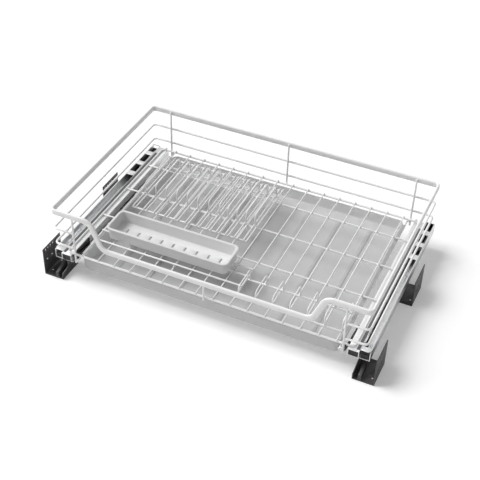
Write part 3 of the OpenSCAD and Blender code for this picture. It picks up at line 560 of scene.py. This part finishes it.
class DISHRACK_OT_rim(PieceOperator, bpy.types.Operator):
    """Bends the flat rim bar round the basket, with its dip at the front"""
    bl_idname = "dish_rack.rim"
    bl_label = "Rim"

    def build(self, size):
        lowest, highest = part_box("top_rim")
        y_mid = (lowest.y + highest.y) / 2
        half_x = highest.x - size.rim_thickness / 2
        half_y = (highest.y - lowest.y) / 2 - size.rim_thickness / 2
        top = highest.z - size.rim_height / 2
        bottom = top - size.dip_depth
        r, slope = size.dip_radius, math.degrees(size.dip_angle)
        sin, cos = math.sin(size.dip_angle), math.cos(size.dip_angle)
        slope_run = (size.dip_depth - 2 * r * (1 - cos)) / sin
        low_x = size.dip_width / 2
        high_x = low_x + 2 * r * sin + slope_run * cos
        cx, cy = half_x - size.corner, half_y - size.corner
        front, back = y_mid - half_y, y_mid + half_y
        piece = ring(size.rim_thickness, (0, back, top), (1, 0, 0), 24,
                     size.rim_height - size.rim_thickness)
        down = (0, 0, -1)
        run((cx, 0, 0))
        bend((cx, y_mid + cy, top), down, 90, RIM_STEPS)
        run((0, -2 * cy, 0))
        bend((cx, y_mid - cy, top), down, 90, RIM_STEPS)
        run((high_x - cx, 0, 0))
        bend((high_x, front, top - r), (0, -1, 0), slope, DIP_STEPS)
        run((-slope_run * cos, 0, -slope_run * sin))
        bend((low_x, front, bottom + r), (0, 1, 0), slope, DIP_STEPS)
        run((-2 * low_x, 0, 0))
        bend((-low_x, front, bottom + r), (0, 1, 0), slope, DIP_STEPS)
        run((-slope_run * cos, 0, slope_run * sin))
        bend((-high_x, front, top - r), (0, -1, 0), slope, DIP_STEPS)
        run((high_x - cx, 0, 0))
        bend((-cx, y_mid - cy, top), down, 90, RIM_STEPS)
        run((0, 2 * cy, 0))
        bend((-cx, y_mid + cy, top), down, 90, RIM_STEPS)
        run((cx, 0, 0))
        rim = closed_loop(piece, "rim_bar")
        coated(rim, "top_rim")


class DISHRACK_OT_side_wires(PieceOperator, bpy.types.Operator):
    """Bends the two side wires, open at the front between the outer posts"""
    bl_idname = "dish_rack.side_wires"
    bl_label = "Side wires"

    def build(self, size):
        for node in ("upper_side_wire", "lower_side_wire"):
            lowest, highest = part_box(node)
            half_x = highest.x - size.side_wire / 2
            half_y = (highest.y - lowest.y) / 2 - size.side_wire / 2
            y_mid, z = (lowest.y + highest.y) / 2, (lowest.z + highest.z) / 2
            cx, cy = half_x - size.corner, half_y - size.corner
            front, up = y_mid - half_y, (0, 0, 1)
            start = high("front_posts").x + WELD_GAP
            piece = ring(size.side_wire, (start, front, z), (1, 0, 0), size.sections)
            run((cx - start, 0, 0))
            bend((cx, y_mid - cy, z), up, 90, WIRE_STEPS)
            run((0, 2 * cy, 0))
            bend((cx, y_mid + cy, z), up, 90, WIRE_STEPS)
            run((-2 * cx, 0, 0))
            bend((-cx, y_mid + cy, z), up, 90, WIRE_STEPS)
            run((0, -2 * cy, 0))
            bend((-cx, y_mid - cy, z), up, 90, WIRE_STEPS)
            run((cx - start, 0, 0))
            wire = capped(piece, node + "_bent", 0.9 * MM)
            coated(wire, node)


class DISHRACK_OT_posts(PieceOperator, bpy.types.Operator):
    """Cuts the six upright posts"""
    bl_idname = "dish_rack.posts"
    bl_label = "Posts"

    def build(self, size):
        middle_foot = low("bottom_frame").z - size.frame_wire / 2
        dipped_top = high("top_rim").z - size.dip_depth - size.rim_height
        for node in ("front_posts", "back_posts"):
            lowest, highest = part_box(node)
            y, reach = (lowest.y + highest.y) / 2, highest.x - size.post / 2
            middle_top = dipped_top if node == "front_posts" else highest.z
            posts = [straight_wire("post", (x, y, foot), (x, y, top), size.post, size.sections)
                     for x, foot, top in ((-reach, lowest.z, highest.z), (0, middle_foot, middle_top),
                                          (reach, lowest.z, highest.z))]
            coated(join(node + "_cut", posts), node)


class DISHRACK_OT_bottom_frame(PieceOperator, bpy.types.Operator):
    """Bends the bottom frame's closed wire"""
    bl_idname = "dish_rack.bottom_frame"
    bl_label = "Bottom frame"

    def build(self, size):
        lowest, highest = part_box("bottom_frame")
        half_x = highest.x - size.frame_wire / 2
        front, back = lowest.y + size.frame_wire / 2, highest.y - size.frame_wire / 2
        z, r = (lowest.z + highest.z) / 2, size.corner
        cx, down = half_x - r, (0, 0, -1)
        piece = ring(size.frame_wire, (0, back, z), (1, 0, 0), size.sections)
        run((cx, 0, 0))
        bend((cx, back - r, z), down, 90, FRAME_STEPS)
        run((0, front - back + 2 * r, 0))
        bend((cx, front + r, z), down, 90, FRAME_STEPS)
        run((-2 * cx, 0, 0))
        bend((-cx, front + r, z), down, 90, FRAME_STEPS)
        run((0, back - front - 2 * r, 0))
        bend((-cx, back - r, z), down, 90, FRAME_STEPS)
        run((cx, 0, 0))
        coated(closed_loop(piece, "bottom_frame_wire"), "bottom_frame")


def grid_levels(size):
    """Heights and ends that the grid's wires share."""
    lowest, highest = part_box("bottom_grid")
    return highest.z - size.grid_wire / 2, lowest.z + size.cross_wire / 2, lowest.y, highest.y


def grid_places(size):
    steps = size.grid_count - 1
    return [-GRID_REACH + 2 * GRID_REACH * k / steps for k in range(size.grid_count)]


def shared_places(shares):
    """Places from front to back, given as shares of half the rim's depth from its middle."""
    half_depth = (high("top_rim").y - low("top_rim").y) / 2
    return [middle("top_rim").y + share * half_depth for share in shares]


class DISHRACK_OT_grid(PieceOperator, bpy.types.Operator):
    """Lays the bottom grid: lengthwise wires over three cross wires"""
    bl_idname = "dish_rack.grid"
    bl_label = "Bottom grid"

    def build(self, size):
        z, cross_z, front, back = grid_levels(size)
        places = grid_places(size)
        pattern = straight_wire("grid_wire", (places[0], front, z), (places[0], back, z),
                                size.grid_wire, 12)
        wires = [pattern] + [copied(pattern, (x - places[0], 0, 0)) for x in places[1:]]
        reach = high("bottom_grid").x
        for y in shared_places(CROSS_WIRE_SHARES):
            wires.append(straight_wire("cross_wire", (-reach, y, cross_z), (reach, y, cross_z),
                                       size.cross_wire, 12))
        coated(join("grid_wires", wires), "bottom_grid")


class DISHRACK_OT_shelf(PieceOperator, bpy.types.Operator):
    """Lays the shelf's three rails and their feet"""
    bl_idname = "dish_rack.shelf"
    bl_label = "Shelf"

    def build(self, size):
        lowest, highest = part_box("tray_shelf")
        rail_z = highest.z - size.cross_wire / 2
        foot_wire, foot_over = 3 * MM, 6 * MM
        rail_steps, grid_wires_under_feet = (0, 34 * MM, 58 * MM), (0, 5, 9)
        foot_z = lowest.z + foot_wire / 2
        rails = [lowest.y + foot_over + step for step in rail_steps]
        parts = [straight_wire("shelf_rail", (lowest.x, y, rail_z), (highest.x, y, rail_z),
                               size.cross_wire, 14) for y in rails]
        feet = [grid_places(size)[k] for k in grid_wires_under_feet]
        parts += [straight_wire("shelf_foot", (x, rails[0] - foot_over, foot_z),
                                (x, rails[2] + foot_over, foot_z), foot_wire, 12) for x in feet]
        coated(join("shelf_wires", parts), "tray_shelf")


class DISHRACK_OT_hangers(PieceOperator, bpy.types.Operator):
    """Makes the drip tray's two hangers, each with its stubs and its eye"""
    bl_idname = "dish_rack.hangers"
    bl_label = "Tray hangers"

    def build(self, size):
        hanger_d, stub_d, eye, gap = 4 * MM, 2.8 * MM, 2.6 * MM, 0.4 * MM
        z = high("tray_hangers").z - hanger_d / 2
        x = high("drip_tray").x - gap - hanger_d / 2
        front, back = middle("front_posts").y, middle("back_posts").y
        post_face = high("front_posts").x - size.post
        parts = [straight_wire("hanger", (x, front, z), (x, back, z), hanger_d, 14)]
        for y in (front, back):
            parts.append(straight_wire("stub", (x, y, z), (post_face + gap, y, z), stub_d, 12, gap))
        clear_selection()
        bpy.ops.mesh.primitive_torus_add(location=(x, front, z - eye - stub_d / 2), major_radius=eye,
                                         minor_radius=stub_d / 2, major_segments=24, minor_segments=10,
                                         rotation=(math.pi / 2, 0, 0))
        parts.append(smoothed(settled(bpy.context.object), 60))
        one = join("tray_hanger_wires", parts)
        other = copied(one, mirrored=True)
        coated(join("tray_hanger_wires", [one, other]), "tray_hangers")


class DISHRACK_OT_welds(PieceOperator, bpy.types.Operator):
    """Sets the weld beads where the basket's wires cross"""
    bl_idname = "dish_rack.welds"
    bl_label = "Basket welds"

    def build(self, size):
        z, cross_z = grid_levels(size)[:2]
        frame_low, frame_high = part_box("bottom_frame")
        front_y, back_y = frame_low.y + size.frame_wire / 2, frame_high.y - size.frame_wire / 2
        level = (z + cross_z) / 2 + 0.1 * MM
        pattern = weld(GRID_BEAD)
        beads = [copied(pattern, (x, y, level)) for x in grid_places(size)
                 for y in (front_y, back_y, *shared_places(CROSS_WIRE_SHARES))]
        upright = weld(POST_BEAD)
        reach = high("front_posts").x - size.post / 2
        post_y, frame_z = high("back_posts").y, middle("bottom_frame").z
        for x in (-reach, 0.0, reach):
            for y, lift in ((post_y, middle("upper_side_wire").z), (post_y, middle("lower_side_wire").z),
                            (frame_high.y, frame_z), (frame_low.y, frame_z)):
                beads.append(copied(upright, (x, y, lift)))
        dropped(pattern, upright)
        coated(join("basket_welds", beads))


# Racks that lift out
def arch_wire(x, front, back, foot, top, diameter):
    """One divider: up, over and down again, with round shoulders."""
    r, over = 9 * MM, (-1, 0, 0)
    shoulder = top - diameter / 2 - r
    piece = ring(diameter, (x, front, foot), (0, 0, 1), 12)
    run((0, 0, shoulder - foot))
    bend((x, front + r, shoulder), over, 90, ARCH_STEPS)
    run((0, back - front - 2 * r, 0))
    bend((x, back - r, shoulder), over, 90, ARCH_STEPS)
    run((0, 0, foot - shoulder))
    return capped(piece, "divider", 0.5 * MM)


def inserted(rack, name, wires, node):
    """Joins the wires of one of the lift-out racks and finishes them."""
    finished(join(name, wires), "insert", rack, "insert_coat", node)


class DISHRACK_OT_plate_rack(PieceOperator, bpy.types.Operator):
    """Makes the plate rack: cross rails, pairs of wires and the standing dividers"""
    bl_idname = "dish_rack.plate_rack"
    bl_label = "Plate rack"

    def build(self, size):
        lowest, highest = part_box("plate_rack_base")
        arch_low, arch_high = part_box("plate_dividers")
        rails = shared_places(PLATE_RAIL_SHARES)
        rail_z = lowest.z + size.cross_wire / 2
        pair_z = highest.z - size.insert_wire / 2
        dividers, wide_gaps, wide_pitch, narrow_pitch, half_pair = 12, 7, 27 * MM, 22 * MM, 4 * MM
        first = arch_low.x + size.insert_wire / 2
        places = [first + min(k, wide_gaps) * wide_pitch + max(k - wide_gaps, 0) * narrow_pitch
                  for k in range(dividers)]
        pairs = [x + side * half_pair for x in places for side in (-1, 1)]
        wires = [straight_wire("rail", (lowest.x, y, rail_z), (highest.x, y, rail_z),
                               size.cross_wire, 14) for y in rails]
        pattern = straight_wire("pair", (0, lowest.y, pair_z), (0, highest.y, pair_z),
                                size.insert_wire, 12)
        wires += [copied(pattern, (x, 0, 0)) for x in pairs]
        bead = weld(PAIR_BEAD)
        level = rail_z + size.cross_wire / 2
        wires += [copied(bead, (x, y, level)) for x in pairs for y in rails]
        dropped(pattern, bead)
        inserted("plate_rack", "plate_rack_wires", wires, "plate_rack_base")
        arch = arch_wire(0.0, rails[1], rails[2], arch_low.z, arch_high.z, size.insert_wire)
        arches = [copied(arch, (x, 0, 0)) for x in places]
        dropped(arch)
        inserted("plate_rack", "plate_divider_wires", arches, "plate_dividers")


class DISHRACK_OT_saucer_rack(PieceOperator, bpy.types.Operator):
    """Makes the saucer rack: two rails and the standing dividers"""
    bl_idname = "dish_rack.saucer_rack"
    bl_label = "Saucer rack"

    def build(self, size):
        lowest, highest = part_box("saucer_rack_base")
        arch_low, arch_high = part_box("saucer_dividers")
        rails = [lowest.y + size.cross_wire / 2, highest.y - size.cross_wire / 2]
        rail_z = middle("saucer_rack_base").z
        wires = [straight_wire("rail", (lowest.x, y, rail_z), (highest.x, y, rail_z),
                               size.cross_wire, 14) for y in rails]
        dividers, pitch = 7, 38 * MM
        places = [arch_low.x + size.insert_wire / 2 + k * pitch for k in range(dividers)]
        bead = weld(SAUCER_BEAD)
        wires += [copied(bead, (x, y, highest.z)) for x in places for y in rails]
        dropped(bead)
        inserted("saucer_rack", "saucer_rack_wires", wires, "saucer_rack_base")
        arch = arch_wire(0.0, rails[0], rails[1], arch_low.z, arch_high.z, size.insert_wire)
        arches = [copied(arch, (x, 0, 0)) for x in places]
        dropped(arch)
        inserted("saucer_rack", "saucer_divider_wires", arches, "saucer_dividers")


# Trays
def open_tray(name, lowest, highest, wall, floor, corner, bottom_round, flange=0.0, flange_height=0.0):
    """A moulded tray: block, rounded, hollowed out, and given its flange."""
    piece = block((lowest + highest) / 2, highest - lowest)
    piece.name = name
    edit()
    pick(piece, lambda a, b: abs(a.z - b.z) > (highest.z - lowest.z) / 2, "EDGE")
    bpy.ops.mesh.bevel(offset=corner, segments=8, profile=0.5, affect="EDGES")
    if flange:
        band = highest.z - flange_height
        bpy.ops.mesh.select_all(action="SELECT")
        bpy.ops.mesh.bisect(plane_co=(0, 0, band), plane_no=(0, 0, 1))
        pick(piece, lambda centre, normal: centre.z > band and abs(normal.z) < 0.5)
        bpy.ops.mesh.extrude_region_shrink_fatten(TRANSFORM_OT_shrink_fatten={"value": flange})
    pick(piece, lambda centre, normal: normal.z < -SQUARELY and centre.z < lowest.z + SAME_HEIGHT)
    bpy.ops.mesh.region_to_loop()
    bpy.ops.mesh.bevel(offset=bottom_round, segments=4, affect="EDGES")
    pick(piece, lambda centre, normal: normal.z > SQUARELY and centre.z > highest.z - SAME_HEIGHT)
    bpy.ops.mesh.dissolve_faces()
    bpy.ops.mesh.inset(thickness=wall + flange, depth=0.0)
    run((0, 0, floor - (highest.z - lowest.z)))
    inner = lowest.z + floor
    pick(piece, lambda centre, normal: normal.z > SQUARELY and abs(centre.z - inner) < SAME_HEIGHT)
    bpy.ops.mesh.region_to_loop()
    bpy.ops.mesh.bevel(offset=bottom_round * 0.8, segments=4, affect="EDGES")
    done()
    return piece


class DISHRACK_OT_cutlery_tray(PieceOperator, bpy.types.Operator):
    """Moulds the cutlery tray with its rolled rim and drain slots"""
    bl_idname = "dish_rack.cutlery_tray"
    bl_label = "Cutlery tray"

    def build(self, size):
        lowest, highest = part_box("cutlery_tray")
        flange = 4 * MM
        inner_low, inner_high = lowest.copy(), highest.copy()
        for axis in (0, 1):
            inner_low[axis] += flange
            inner_high[axis] -= flange
        tray = open_tray("cutlery_tray_moulded", inner_low, inner_high, wall=1.8 * MM, floor=1.8 * MM,
                         corner=10 * MM, bottom_round=2.5 * MM, flange=flange, flange_height=2.4 * MM)
        slots, slot_size, slot_round = 9, (4 * MM, 22 * MM, 12 * MM), 1.9 * MM
        length, x, y = inner_high.x - inner_low.x, (lowest.x + highest.x) / 2, (lowest.y + highest.y) / 2
        pattern = block((0, y, lowest.z), slot_size)
        with_modifier(pattern, "BEVEL", width=slot_round, segments=3, limit_method="NONE")
        cutters = [copied(pattern, (x + (k - slots // 2) * length / (slots + 1), 0, 0))
                   for k in range(slots)]
        dropped(pattern)
        cutter = join("cutter", cutters)
        with_modifier(tray, "BOOLEAN", object=cutter, operation="DIFFERENCE", solver="EXACT")
        dropped(cutter)
        with_modifier(tray, "BEVEL", width=0.6 * MM, segments=2, limit_method="ANGLE",
                      angle_limit=math.radians(40), use_clamp_overlap=True)
        finished(smoothed(tray), "cutlery", "cutlery_tray_body", "tray_plastic", "cutlery_tray")


class DISHRACK_OT_drip_tray(PieceOperator, bpy.types.Operator):
    """Moulds the drip tray with its runners and floor ribs"""
    bl_idname = "dish_rack.drip_tray"
    bl_label = "Drip tray"

    def build(self, size):
        lowest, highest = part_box("drip_tray")
        depth, y, wall, corner = highest.y - lowest.y, (lowest.y + highest.y) / 2, 2 * MM, 14 * MM
        runner_reach, runner_height = 6.9 * MM, 1.5 * MM
        ribs, rib_margin, rib_end, rib_lift = 7, 30 * MM, 30 * MM, 2.3 * MM
        body_half = highest.x - runner_reach
        body_low = Vector((-body_half, lowest.y, lowest.z))
        body_high = Vector((body_half, highest.y, highest.z - runner_height))
        parts = [open_tray("drip_tray_moulded", body_low, body_high, wall=wall, floor=2 * MM,
                           corner=corner, bottom_round=5 * MM)]
        outer, inner = highest.x, body_half - wall
        for side in (-1, 1):
            runner = block((side * (outer + inner) / 2, y, highest.z - runner_height / 2),
                           (outer - inner, depth - 2 * corner, runner_height))
            parts.append(with_modifier(runner, "BEVEL", width=0.6 * MM, segments=2))
        rib_pitch = 2 * (body_half - rib_margin) / ribs
        for k in range(ribs):
            rib = block(((k - ribs // 2) * rib_pitch, y, lowest.z + rib_lift),
                        (10 * MM, depth - 2 * rib_end, 1.8 * MM))
            parts.append(with_modifier(rib, "BEVEL", width=0.85 * MM, segments=3))
        whole = join("drip_tray_moulded", parts)
        finished(smoothed(whole), "drip", "drip_tray_body", "drip_plastic", "drip_tray")


# Rails, brackets and fittings
class DISHRACK_OT_brackets(PieceOperator, bpy.types.Operator):
    """Eases the pressed edges of the four brackets"""
    bl_idname = "dish_rack.brackets"
    bl_label = "Brackets"

    def build(self, size):
        for end in ("front", "rear"):
            for side in SIDES:
                node = f"{end}_{side}_bracket"
                piece = eased(node, node + "_pressed", 0.6 * MM)
                finished(piece, "bracket", "cabinet_side", "bracket_coat", node)


class DISHRACK_OT_rails(PieceOperator, bpy.types.Operator):
    """Eases the sheet edges of the cabinet rails and the basket rails"""
    bl_idname = "dish_rack.rails"
    bl_label = "Rails"

    def build(self, size):
        for side in SIDES:
            for rail, width, finish, body, slot in (
                    ("cabinet_rail", 0.45, "galvanised", "cabinet_side", "galvanised_sheet"),
                    ("basket_rail", 0.4, "bright", "basket", "bright_rail")):
                node = f"{rail}_{side}"
                finished(eased(node, node + "_rolled", width * MM), finish, body, slot, node)


def moulding(name, lowest, highest, facing, margin, relief, rounding):
    """A small moulded block with a panel raised from, or sunk in, the face that looks one way."""
    lowest, highest, facing = Vector(lowest), Vector(highest), Vector(facing)
    piece = block((lowest + highest) / 2, highest - lowest)
    piece.name = name
    edit()
    pick(piece, lambda centre, normal: normal.dot(facing) > SQUARELY)
    bpy.ops.mesh.inset(thickness=margin)
    run(facing * relief)
    done()
    with_modifier(piece, "BEVEL", width=rounding, segments=3, limit_method="ANGLE",
                  use_clamp_overlap=True)
    return smoothed(piece)


class DISHRACK_OT_trims(PieceOperator, bpy.types.Operator):
    """Moulds the rails' black pieces: strips in the cabinet rails' grooves and along the basket rails'
    shoulders that paint shade, and end caps in both rails' fronts, kept dark to paint the shade there
    """
    bl_idname = "dish_rack.trims"
    bl_label = "Rail trims"

    def build(self, size):
        up, forward = (0, 0, 1), (0, -1, 0)
        outer_low, outer_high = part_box("cabinet_rail_right")
        inner_low, inner_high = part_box("basket_rail_right")
        web, rail_top = low("travel_stop_right").z, outer_high.z
        back = low("soft_close_housing_right").y - 4 * MM
        mouth, nose = outer_low.y, inner_low.y
        made = (
            # A black strip on the cabinet rail's web: painted shade that darkens the rail's groove
            (moulding("groove_shade_strip", (339.4 * MM, mouth + 16 * MM, web), (348.8 * MM, back, web + 2 * MM),
                      up, margin=2.6 * MM, relief=1.1 * MM, rounding=0.45 * MM),
             "black", "cabinet_side"),
            # A black block in the cabinet rail's mouth: an end cap, kept dark and sunk to paint the shade
            # in the rail's front end
            (moulding("mouth_cap_and_shade", (344.2 * MM, mouth + 0.8 * MM, web),
                      (361.6 * MM, mouth + 13 * MM, web + 11.5 * MM),
                      forward, margin=2.2 * MM, relief=-1.2 * MM, rounding=0.6 * MM),
             "black", "cabinet_side"),
            # A black plug in the basket rail's nose: an end plug, kept dark and sunk to paint the shade
            # at the rail's front
            (moulding("end_plug_and_shade", (inner_low.x + 1.7 * MM, nose + 1.0 * MM, inner_low.z + 0.6 * MM),
                      (340.8 * MM, nose + 9.6 * MM, rail_top - 1.7 * MM),
                      forward, margin=2.4 * MM, relief=-1.4 * MM, rounding=0.6 * MM),
             "black", "basket"),
            # A dark strip on the basket rail's outer shoulder: painted shade along the rail's edge
            (moulding("shoulder_shade_strip", (335.0 * MM, nose + 6 * MM, rail_top - 0.2 * MM),
                      (341.4 * MM, inner_high.y - 26 * MM, rail_top + 0.5 * MM),
                      up, margin=1.8 * MM, relief=0.25 * MM, rounding=0.3 * MM),
             "shade_strip_finish", "basket"),
        )
        for piece, finish, body in made:
            name, other = piece.name, copied(piece, mirrored=True)
            for side, each in (("left", other), ("right", piece)):
                each.name = f"{name}_{side}"
                finished(each, finish, body, "black_plastic")


class DISHRACK_OT_fittings(PieceOperator, bpy.types.Operator):
    """Finishes the clips, levers, soft-close units, stops and the rails' insides"""
    bl_idname = "dish_rack.fittings"
    bl_label = "Fittings"

    def build(self, size):
        for side in SIDES:
            rows = (
                ("front_clip", "black", "basket", "black_plastic", 0.25),
                ("release_lever", "lever", f"lever_{side}", "lever_plastic", 0.5),
                ("travel_stop", "black", "cabinet_side", "black_plastic", 0.3),
                ("soft_close_housing", "black", "cabinet_side", "black_plastic", 0.4),
                ("soft_close_carriage", "pale", f"carriage_{side}", "pale_plastic", 0.3),
            )
            for name, finish, body, slot, width in rows:
                node = f"{name}_{side}"
                piece = eased(node, node + "_moulded", width * MM)
                finished(piece, finish, body, slot, node)
        kept = {"rail_screws": "screw"}
        for side in SIDES:
            kept.update({f"middle_rail_{side}": "middle", f"lower_ball_cage_{side}": "cage",
                         f"upper_ball_cage_{side}": "cage", f"lower_balls_{side}": "ball",
                         f"upper_balls_{side}": "ball", f"soft_close_cylinder_{side}": "cylinder"})
        for node, finish in kept.items():
            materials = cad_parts[node].data.materials
            materials.clear()
            materials.append(FINISHES[finish])


# Stage
class DISHRACK_OT_stage(bpy.types.Operator):
    """Sets the floor, the soft lamps and the camera"""
    bl_idname = "dish_rack.stage"
    bl_label = "Stage"

    def execute(self, context):
        scene = context.scene
        scene.view_settings.view_transform = "Standard"
        self.world(scene)
        self.floor()
        self.sun((-1.5, -0.2, 1.85), 38.0, 3.0)
        self.lamp("front_lamp", (0.3, -2.3, 1.5), (0.0, 0.0, 0.1), 1.8, 1.5)
        self.camera(scene)
        clear_selection()
        return {"FINISHED"}

    def world(self, scene):
        world = bpy.data.worlds.new("studio")
        scene.world = world
        world.use_nodes = True
        tree = world.node_tree
        soft = tree.nodes["Background"]
        soft.inputs["Color"].default_value = (1.0, 1.0, 1.0, 1.0)
        soft.inputs["Strength"].default_value = 0.29
        white = add_node(tree, "ShaderNodeBackground", {}, {"Strength": 1.0})
        path = add_node(tree, "ShaderNodeLightPath", {}, {}).outputs
        seen = path["Is Camera Ray"]
        for ray in ("Is Glossy Ray", "Is Transmission Ray"):
            seen = add_node(tree, "ShaderNodeMath", {"operation": "MAXIMUM"},
                            {0: seen, 1: path[ray]}).outputs[0]
        mixed = add_node(tree, "ShaderNodeMixShader", {},
                         {0: seen, 1: soft.outputs[0], 2: white.outputs[0]})
        feed(tree, tree.nodes["World Output"].inputs["Surface"], mixed.outputs[0])

    def floor(self):
        clear_selection()
        bpy.ops.mesh.primitive_plane_add(size=14.0, location=(0, 0, -0.0004))
        floor = settled(bpy.context.object)
        floor.name = "studio_floor"
        material = bpy.data.materials.new("studio_floor")
        material.use_nodes = True
        tree = material.node_tree
        shader = tree.nodes["Principled BSDF"]
        shader.inputs["Base Color"].default_value = (0.86, 0.86, 0.86, 1.0)
        shader.inputs["Roughness"].default_value = 0.6
        shader.inputs["Specular IOR Level"].default_value = 0.1
        camera_ray = add_node(tree, "ShaderNodeLightPath", {}, {}).outputs["Is Camera Ray"]
        strength = add_node(tree, "ShaderNodeMath", {"operation": "MULTIPLY"}, {0: camera_ray, 1: 0.2})
        glow = add_node(tree, "ShaderNodeEmission", {}, {"Strength": strength.outputs[0]})
        both = add_node(tree, "ShaderNodeAddShader", {}, {0: shader.outputs[0], 1: glow.outputs[0]})
        feed(tree, tree.nodes["Material Output"].inputs["Surface"], both.outputs[0])
        floor.data.materials.append(material)

    def sun(self, place, spread, strength):
        """The main light, from the upper left and a little behind, as wide as a studio's soft box."""
        clear_selection()
        bpy.ops.object.light_add(type="SUN", location=place)
        lamp = bpy.context.object
        lamp.name = "key_lamp"
        lamp.rotation_euler = (-Vector(place)).to_track_quat("-Z", "Y").to_euler()
        lamp.data.angle = math.radians(spread)
        lamp.data.energy = strength

    def lamp(self, name, place, aim, side, power):
        clear_selection()
        bpy.ops.object.light_add(type="AREA", location=place)
        lamp = bpy.context.object
        lamp.name = name
        lamp.rotation_euler = (Vector(aim) - Vector(place)).to_track_quat("-Z", "Y").to_euler()
        lamp.data.shape = "DISK"
        lamp.data.size = side
        lamp.data.energy = power

    def camera(self, scene):
        """Stands where the photograph was taken: azimuth, elevation, a slight roll and a long lens."""
        azimuth, elevation, roll = math.radians(23.4675), math.radians(39.5404), math.radians(1.7638)
        sensor, focal_pixels, frame_pixels = 36.0, 1008.86, 480
        flat = math.cos(elevation)
        back = Vector((math.sin(azimuth) * flat, -math.cos(azimuth) * flat, math.sin(elevation)))
        right = Vector((0, 0, 1)).cross(back).normalized()
        up = back.cross(right)
        right_rolled = math.cos(roll) * right + math.sin(roll) * up
        up_rolled = math.cos(roll) * up - math.sin(roll) * right
        bpy.ops.object.camera_add(location=(0.67637, -1.59862, 1.49383))
        camera = bpy.context.object
        turn = Matrix((right_rolled, up_rolled, back)).transposed()
        camera.rotation_euler = turn.to_euler()
        camera.data.sensor_width = sensor
        camera.data.lens = focal_pixels / frame_pixels * sensor
        scene.camera = camera


PIECES = (
    DISHRACK_OT_rim, DISHRACK_OT_side_wires, DISHRACK_OT_posts, DISHRACK_OT_bottom_frame,
    DISHRACK_OT_grid, DISHRACK_OT_shelf, DISHRACK_OT_hangers, DISHRACK_OT_welds, DISHRACK_OT_plate_rack,
    DISHRACK_OT_saucer_rack, DISHRACK_OT_cutlery_tray, DISHRACK_OT_drip_tray, DISHRACK_OT_brackets,
    DISHRACK_OT_rails, DISHRACK_OT_trims, DISHRACK_OT_fittings, DISHRACK_OT_stage,
)


class DISHRACK_PT_panel(bpy.types.Panel):
    """Lists the rack's pieces, sizes and colours"""
    bl_label = "Dish rack"
    bl_idname = "DISHRACK_PT_panel"
    bl_space_type = "VIEW_3D"
    bl_region_type = "UI"
    bl_category = "Dish rack"

    def draw(self, context):
        column = self.layout.column()
        for group in (context.scene.dish_rack_sizes, context.scene.dish_rack_look):
            for name in group.__annotations__:
                column.prop(group, name)
        for piece in PIECES:
            column.operator(piece.bl_idname)


CLASSES = (DishRackSizes, DishRackLook, *PIECES, DISHRACK_PT_panel)


def register():
    for each in CLASSES:
        bpy.utils.register_class(each)
    bpy.types.Scene.dish_rack_sizes = PointerProperty(type=DishRackSizes)
    bpy.types.Scene.dish_rack_look = PointerProperty(type=DishRackLook)


def unregister():
    del bpy.types.Scene.dish_rack_look
    del bpy.types.Scene.dish_rack_sizes
    for each in reversed(CLASSES):
        bpy.utils.unregister_class(each)


def main():
    register()
    make_finishes()
    for piece in PIECES:
        name = piece.bl_idname.split(".")[1]
        getattr(bpy.ops.dish_rack, name)()


if __name__ == "__main__":
    main()
